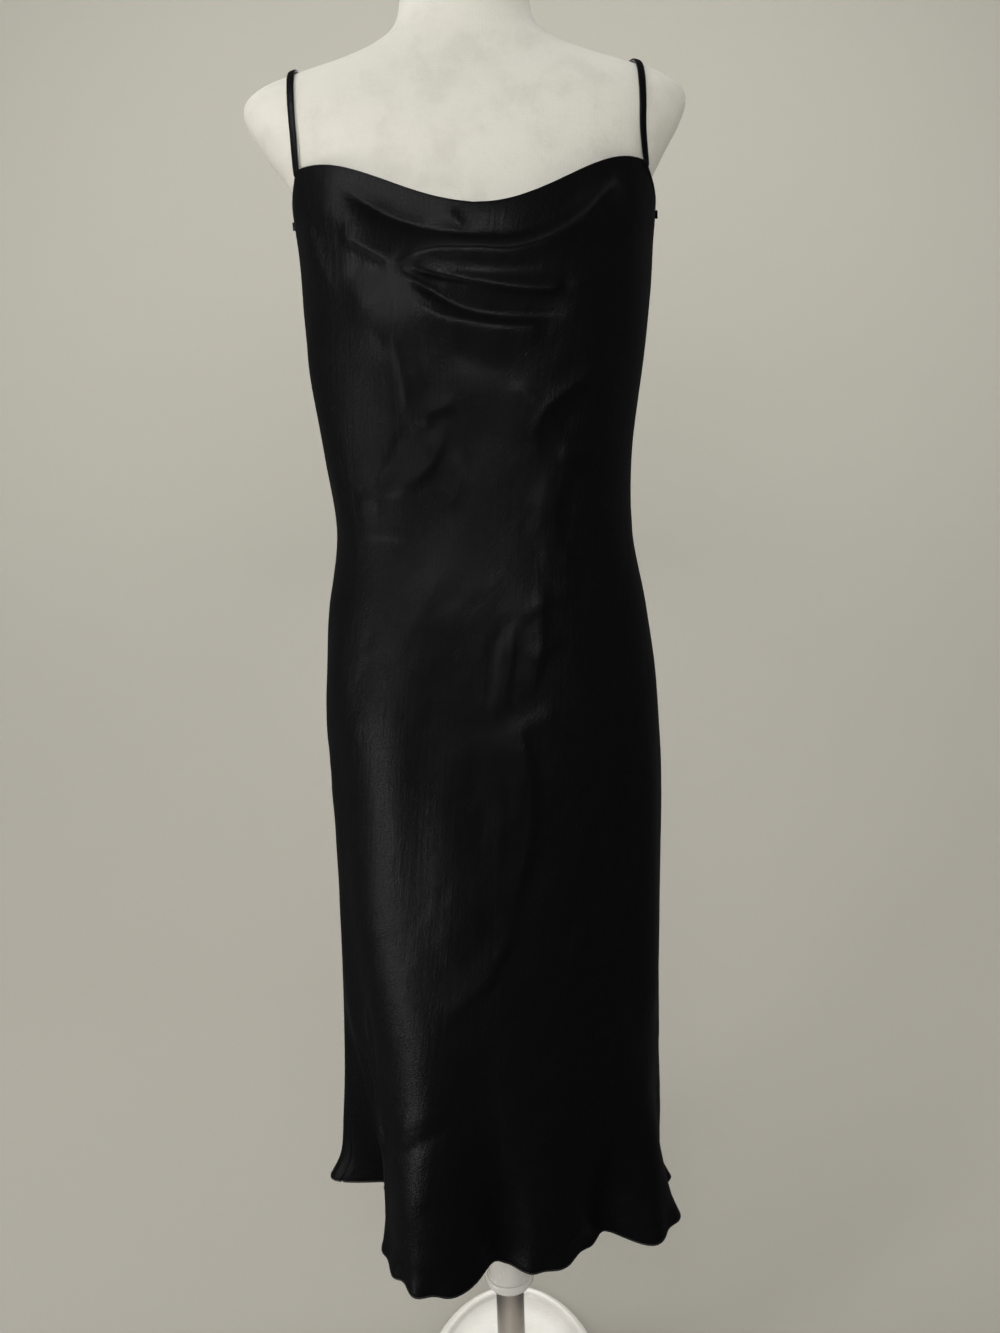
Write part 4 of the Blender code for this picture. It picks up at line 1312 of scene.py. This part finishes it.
    def shoulder_strap(self, side: Side, form: "DressForm") -> bpy.types.Object:
        """A flat satin tube over the shoulder, a little uneven where it was turned through."""
        centres, outward = self.strap_line(side, form)
        draw = np.random.default_rng(60 + side.value)
        knots = draw.uniform(0.97, 1.03, 14)
        swell = np.interp(np.linspace(0.0, 13.0, len(centres)), np.arange(14), knots)
        shape = tape(centres, outward, self.strap_width, self.strap_thick, sides=16, squareness=2.7,
                     swell=swell)
        thing = finished("satin_strap_" + side.word, shape, self.satin, sharp=60.0)
        return dressed(thing, Body.FORM, "satin", "strap_" + side.word)

    def bar_tacks(self, side: Side) -> bpy.types.Object:
        """Edge stitches along the armhole tape and a tack at each foot of the strap."""
        shape = bmesh.new()
        turns = np.linspace(self.cloth.corner_angle + 3.0, self.cloth.back_foot_angle - 3.0, 74)
        for turn in turns:
            self.add_stitch(shape, side.value * turn, -0.0032, 0.0016)
        for turn in (self.cloth.corner_angle + 1.0, self.cloth.back_foot_angle - 1.0):
            for step in range(5):
                self.add_stitch(shape, side.value * turn, -0.0005 - 0.0008 * step, 0.0020)
        thing = finished("armhole_stitches_" + side.word, shape, self.thread, sharp=60.0)
        return dressed(thing, Body.FORM, "satin")

    def add_stitch(self, shape: bmesh.types.BMesh, angle: float, above: float, length: float) -> None:
        """Add one stitch that lies on the tape, along the edge.

        Args:
            shape: the mesh that it joins.
            angle: degrees round the armhole.
            above: height over the edge.
            length: of the thread that shows.
        """
        out = 0.5 * self.tape_thick - self.stitch_sink
        here, ahead = (self.edge_point(angle + turn, above, out) for turn in (0.0, 0.3))
        along = Vector(unit(ahead - here))
        outward = along.cross(Vector((0.0, 0.0, 1.0))).normalized()
        turn = Matrix((along, along.cross(outward).normalized(), outward)).transposed().to_4x4()
        size = Matrix.Diagonal((0.5 * length, *self.stitch_section, 1.0))
        bmesh.ops.create_uvsphere(shape, u_segments=6, v_segments=5, radius=1.0,
                                  matrix=Matrix.Translation(Vector(here)) @ turn @ size)


# ------------------------------------------------------------------------------------ form and stand
@dataclass
class DressForm:
    """The limbless torso with its jersey cover, closed at the neck and round the tube's socket."""

    cover: bpy.types.Material
    columns: int = 144
    socket_radius: float = 0.0258
    socket_top: float = 0.8203
    ovals: Ovals = field(default_factory=lambda: Ovals(FORM_SECTIONS))

    @staticmethod
    def bust_out(points: Array) -> Array:
        """How far the front is padded out at the bust."""
        total = np.zeros(points.shape[:-1])
        for side in Side:
            off = np.hypot((points[..., 0] - side.value * BUST.apart) / BUST.half_width,
                           (points[..., 2] - BUST.height) / BUST.half_height)
            total += BUST.out * hump(off, 1.0) * (points[..., 1] < 0)
        return total

    def build(self) -> bpy.types.Object:
        """Loft the torso, round the neck's rim and turn the underside into the socket."""
        low, high = FORM_SECTIONS[0].height, FORM_SECTIONS[-1].height
        heights = low + (high - low) * spaced(high - low, ((0.0, 0.0085), (0.72, 0.0032), (0.985, 0.0010)))
        angles = np.linspace(-180.0, 180.0, self.columns + 1)
        angle, height = np.meshgrid(angles, heights)
        points, _ = self.ovals.points(angle, height)
        points[..., 1] -= self.bust_out(points)
        points[:, -1] = points[:, 0]
        rim, foot = points[-1], points[0]
        centre = np.array([0.0, 0.0, 1.0])
        top = [rim * (1.0 - 0.03 * k) * np.array([1.0, 1.0, 0.0]) + centre * (high + 0.0006 * math.sqrt(k))
               for k in (0.6, 1.4, 3.0, 10.0, 20.0, 30.0)]
        circle = np.stack([self.socket_radius * np.sin(np.radians(angles)),
                           -self.socket_radius * np.cos(np.radians(angles)), np.full(angles.shape, low)],
                          axis=-1)
        inwards = [foot + (circle - foot) * share for share in (0.06, 0.2, 0.5, 0.8, 1.0)]
        for ring, lift in zip(inwards, (0.0035, 0.0045, 0.0045, 0.0045, 0.0045)):
            ring[:, 2] -= lift
        socket = [circle + centre * (self.socket_top - low), circle + centre * 0.02]
        rows = np.array(socket + inwards[::-1] + list(points) + top)
        shape = closed_roll(rows)
        self.tree = BVHTree.FromBMesh(shape)
        thing = finished("jersey_form", shape, self.cover, sharp=60.0)
        return dressed(thing, Body.FORM, "form_cover", "dress_form")

    def reach(self, centre: Array, ray: Array) -> float:
        """Distance from a point inside the form to its surface along a ray."""
        hit = self.tree.ray_cast(Vector(centre + ray * 0.5), Vector(-ray))[0]
        return (hit - Vector(centre)).length

    def facing(self, centre: Array, ray: Array) -> Array:
        """Outward direction of the form's surface along a ray from inside."""
        return np.array(self.tree.ray_cast(Vector(centre + ray * 0.5), Vector(-ray))[1])


@dataclass
class Stand:
    """Height-adjustable stand: oval base, steel pole, clamp collar and the wide upper tube."""

    white: bpy.types.Material
    steel: bpy.types.Material
    base_half_width: float = 0.112
    base_half_depth: float = 0.158
    base_height: float = 0.014
    base_sides: int = 160
    rim: float = 0.014
    recess: float = 0.004
    pole_radius: float = 0.016
    pole_wall: float = 0.0015
    pole_top: float = 0.720
    collar_foot: float = 0.166
    collar_tall: float = 0.0145
    collar_radius: float = 0.0283
    tube_radius: float = 0.0255
    tube_top: float = 0.820
    play: float = 0.0003                          # between parts that stand on each other
    tube_play: float = 0.0014                     # of the tube round the pole
    collar_play: float = 0.0004

    def build(self) -> None:
        """Make the stand's four pieces."""
        self.base_plate()
        self.pole()
        self.collar()
        self.tube()

    def base_plate(self) -> bpy.types.Object:
        """Oval plate: a rounded raised rim round a shallow dished panel."""
        top = self.base_height
        steps = [(0.0030, 0.0), (0.0012, 0.0005), (0.0, 0.0022), (0.0, top - 0.0055), (0.0007, top - 0.0028),
                 (0.0024, top - 0.0009), (0.0048, top), (self.rim - 0.0030, top),
                 (self.rim - 0.0012, top - 0.0004), (self.rim, top - 0.0014),
                 (self.rim + 0.0012, top - self.recess + 0.0006), (self.rim + 0.0036, top - self.recess),
                 (self.rim + 0.030, top - self.recess), (self.rim + 0.070, top - self.recess)]
        turn = np.linspace(0.0, math.tau, self.base_sides + 1)
        rows = [np.stack([(self.base_half_width - inset) * np.sin(turn),
                          -(self.base_half_depth - inset) * np.cos(turn),
                          np.full(turn.shape, height)], axis=-1) for inset, height in steps]
        for row in rows:
            row[-1] = row[0]
        thing = finished("base_plate_lacquered", closed_roll(np.array(rows)), self.white, sharp=50.0)
        return dressed(thing, Body.STAND, "stand_white", "base_plate")

    @staticmethod
    def sleeve(radius: float, bore: float, foot: float, joint: float, top: float,
               edge: float) -> bmesh.types.BMesh:
        """Spin a straight tube.

        Args:
            radius: outside.
            bore: inside radius.
            foot: height of its lower end.
            joint: height of the ring that divides its long wall.
            top: height of its upper end.
            edge: width of the bevel on its ends.

        Returns:
            The tube.
        """
        return softened(turned([(radius, top), (radius, joint), (radius, foot), (bore, foot),
                                (bore, top)]), edge)

    def pole(self) -> bpy.types.Object:
        """Thin-walled steel tube that stands in the base."""
        foot = self.base_height - self.recess + self.play
        shape = self.sleeve(self.pole_radius, self.pole_radius - self.pole_wall, foot, 0.30,
                            self.pole_top, 0.0003)
        return dressed(finished("steel_pole", shape, self.steel), Body.STAND, "pole_metal", "lower_pole")

    def collar(self) -> bpy.types.Object:
        """Clamp collar: a full rounded lip that draws in like a bowl to the pole."""
        bore = self.pole_radius + self.collar_play
        lip, foot = self.collar_radius, self.collar_foot
        top = foot + self.collar_tall
        bowl = [(lip - 0.0070 * share ** 2.4, top - 0.0042 - (self.collar_tall - 0.0042) * share)
                for share in np.linspace(0.0, 1.0, 9)]
        crown = [(lip - 0.0026 * (1 - math.sin(a)), top - 0.0042 + 0.0042 * math.cos(a))
                 for a in np.radians(np.linspace(0.0, 78.0, 7))]
        profile = [(self.tube_radius + 0.0004, top)] + crown + bowl + [(bore, foot), (bore, top)]
        shape = softened(turned(profile), 0.0004)
        return dressed(finished("clamp_collar_white", shape, self.white), Body.FORM, "stand_white",
                       "clamp_collar")

    def tube(self) -> bpy.types.Object:
        """White upper tube between the collar and the form."""
        foot = self.collar_foot + self.collar_tall + self.play
        shape = self.sleeve(self.tube_radius, self.pole_radius + self.tube_play, foot, 0.45,
                            self.tube_top, 0.0005)
        return dressed(finished("upper_tube_white", shape, self.white), Body.FORM, "stand_white",
                       "upper_tube")


# ------------------------------------------------------------------------------------------- studio
@dataclass(frozen=True)
class SoftLight:
    """A rectangular soft box: where it stands, what it faces, its size, power and colour."""

    name: str
    place: tuple[float, float, float]
    aim: tuple[float, float, float]
    size: tuple[float, float]
    power: float
    colour: tuple[float, float, float] = (1.0, 0.98, 0.95)
    mirrored: bool = True        # whether gloss shows it

    def build(self) -> bpy.types.Object:
        """Make the lamp."""
        lamp = bpy.data.lights.new(self.name, "AREA")
        lamp.shape = "RECTANGLE"
        lamp.size, lamp.size_y = self.size
        lamp.energy = self.power
        lamp.color = self.colour
        thing = bpy.data.objects.new(self.name, lamp)
        thing.visible_glossy = self.mirrored
        facing = (Vector(self.aim) - Vector(self.place)).to_track_quat("-Z", "Y")
        thing.matrix_world = Matrix.Translation(self.place) @ facing.to_matrix().to_4x4()
        bpy.context.scene.collection.objects.link(thing)
        return thing


@dataclass
class Studio:
    """Camera, soft boxes, ambient light and the plain sweep."""

    paint: bpy.types.Material
    focal: float = 27.14
    eye: tuple[float, float, float] = (0.0125, -1.0, 1.10)
    pitch: float = 11.6
    roll: float = 1.9
    ambient: tuple[float, float, float] = (0.031, 0.0305, 0.0295)
    surround: tuple[float, float, float] = (0.36, 0.35, 0.31)
    lights: tuple[SoftLight, ...] = (
        SoftLight("left_low", (-1.30, -0.62, 0.52), (-0.05, -0.10, 0.62), (0.20, 0.8), 3.0),
        SoftLight("left_foot", (-1.00, -0.72, 0.30), (-0.08, -0.12, 0.50), (0.20, 0.20), 1.3),
        SoftLight("left_high", (-1.15, -1.10, 1.75), (-0.05, -0.10, 1.22), (0.22, 0.4), 5.0),
        SoftLight("front_fill", (0.0, -2.2, 1.60), (0.0, 0.0, 1.00), (1.6, 1.2), 24.0, mirrored=False),
        SoftLight("by_the_camera", (-0.10, -1.12, 1.48), (0.0, 0.0, 1.15), (0.16, 0.14), 2.2),
        SoftLight("upper_left", (-0.85, -0.85, 2.30), (0.06, -0.12, 1.30), (0.30, 0.30), 3.0),
        SoftLight("rear", (0.0, 2.0, 1.5), (0.0, 0.0, 0.95), (0.5, 1.2), 9.0),
        SoftLight("ceiling", (0.0, 0.5, 2.9), (0.0, 2.3, 0.6), (3.4, 1.0), 40.0, mirrored=False),
        SoftLight("sweep_left", (-2.1, 0.4, 1.3), (-0.4, 2.3, 1.0), (1.2, 1.6), 20.0, mirrored=False),
        SoftLight("sweep_right", (2.1, 0.4, 1.3), (0.4, 2.3, 1.0), (1.2, 1.6), 16.0, mirrored=False),
    )

    def build(self) -> None:
        """Set up the studio."""
        self.sweep()
        self.camera()
        for light in self.lights:
            light.build()
        world = bpy.data.worlds.new("studio_ambient")
        world.use_nodes = True
        tree = world.node_tree
        ambient = tree.nodes["Background"]
        ambient.inputs["Color"].default_value = (*self.ambient, 1.0)
        surround = tree.nodes.new("ShaderNodeBackground")
        surround.inputs["Color"].default_value = (*self.surround, 1.0)
        rays, choice = tree.nodes.new("ShaderNodeLightPath"), tree.nodes.new("ShaderNodeMixShader")
        tree.links.new(rays.outputs["Is Camera Ray"], choice.inputs[0])
        tree.links.new(ambient.outputs[0], choice.inputs[1])
        tree.links.new(surround.outputs[0], choice.inputs[2])
        tree.links.new(choice.outputs[0], tree.nodes["World Output"].inputs["Surface"])
        bpy.context.scene.world = world
        bpy.context.scene.view_settings.view_transform = "Standard"

    def camera(self) -> None:
        """Place the camera at chest height, tipped down along the dress."""
        data = bpy.data.cameras.new("studio_camera")
        data.lens = self.focal
        data.sensor_width = 36.0
        thing = bpy.data.objects.new("studio_camera", data)
        tip = Matrix.Rotation(math.radians(90.0 - self.pitch), 4, "X")
        thing.matrix_world = Matrix.Translation(self.eye) @ tip @ Matrix.Rotation(
            math.radians(-self.roll), 4, "Z")
        bpy.context.scene.collection.objects.link(thing)
        bpy.context.scene.camera = thing

    def sweep(self) -> None:
        """Pale floor that curves up into the wall behind."""
        wall, bend, half, front = 2.30, 1.30, 9.0, -9.0
        line = [(front, 0.0), (wall - bend, 0.0)]
        line += [(wall - bend + bend * math.sin(a), bend * (1 - math.cos(a)))
                 for a in np.radians(np.linspace(7.5, 90.0, 12))]
        line.append((wall, 5.0))
        rows = np.array([[(x, y, z) for x in np.linspace(-half, half, 9)] for y, z in line])
        thing = finished("studio_sweep", draped_grid(rows), self.paint, sharp=60.0)
        thing.visible_glossy = False


def main() -> None:
    """Build the form, the stand, the dress and the studio, in that order."""
    logging.basicConfig(level=logging.INFO, format="%(name)s %(message)s")
    form = DressForm(FormCoverFinish().material())
    form.build()
    Stand(StandWhiteFinish().material(), PoleSteelFinish().material()).build()
    SlipDress(SatinFinish().material(), ThreadFinish().material()).build(form)
    Studio(BackdropFinish().material()).build()


if __name__ == "__main__":
    main()
    bpy.context.view_layer.update()
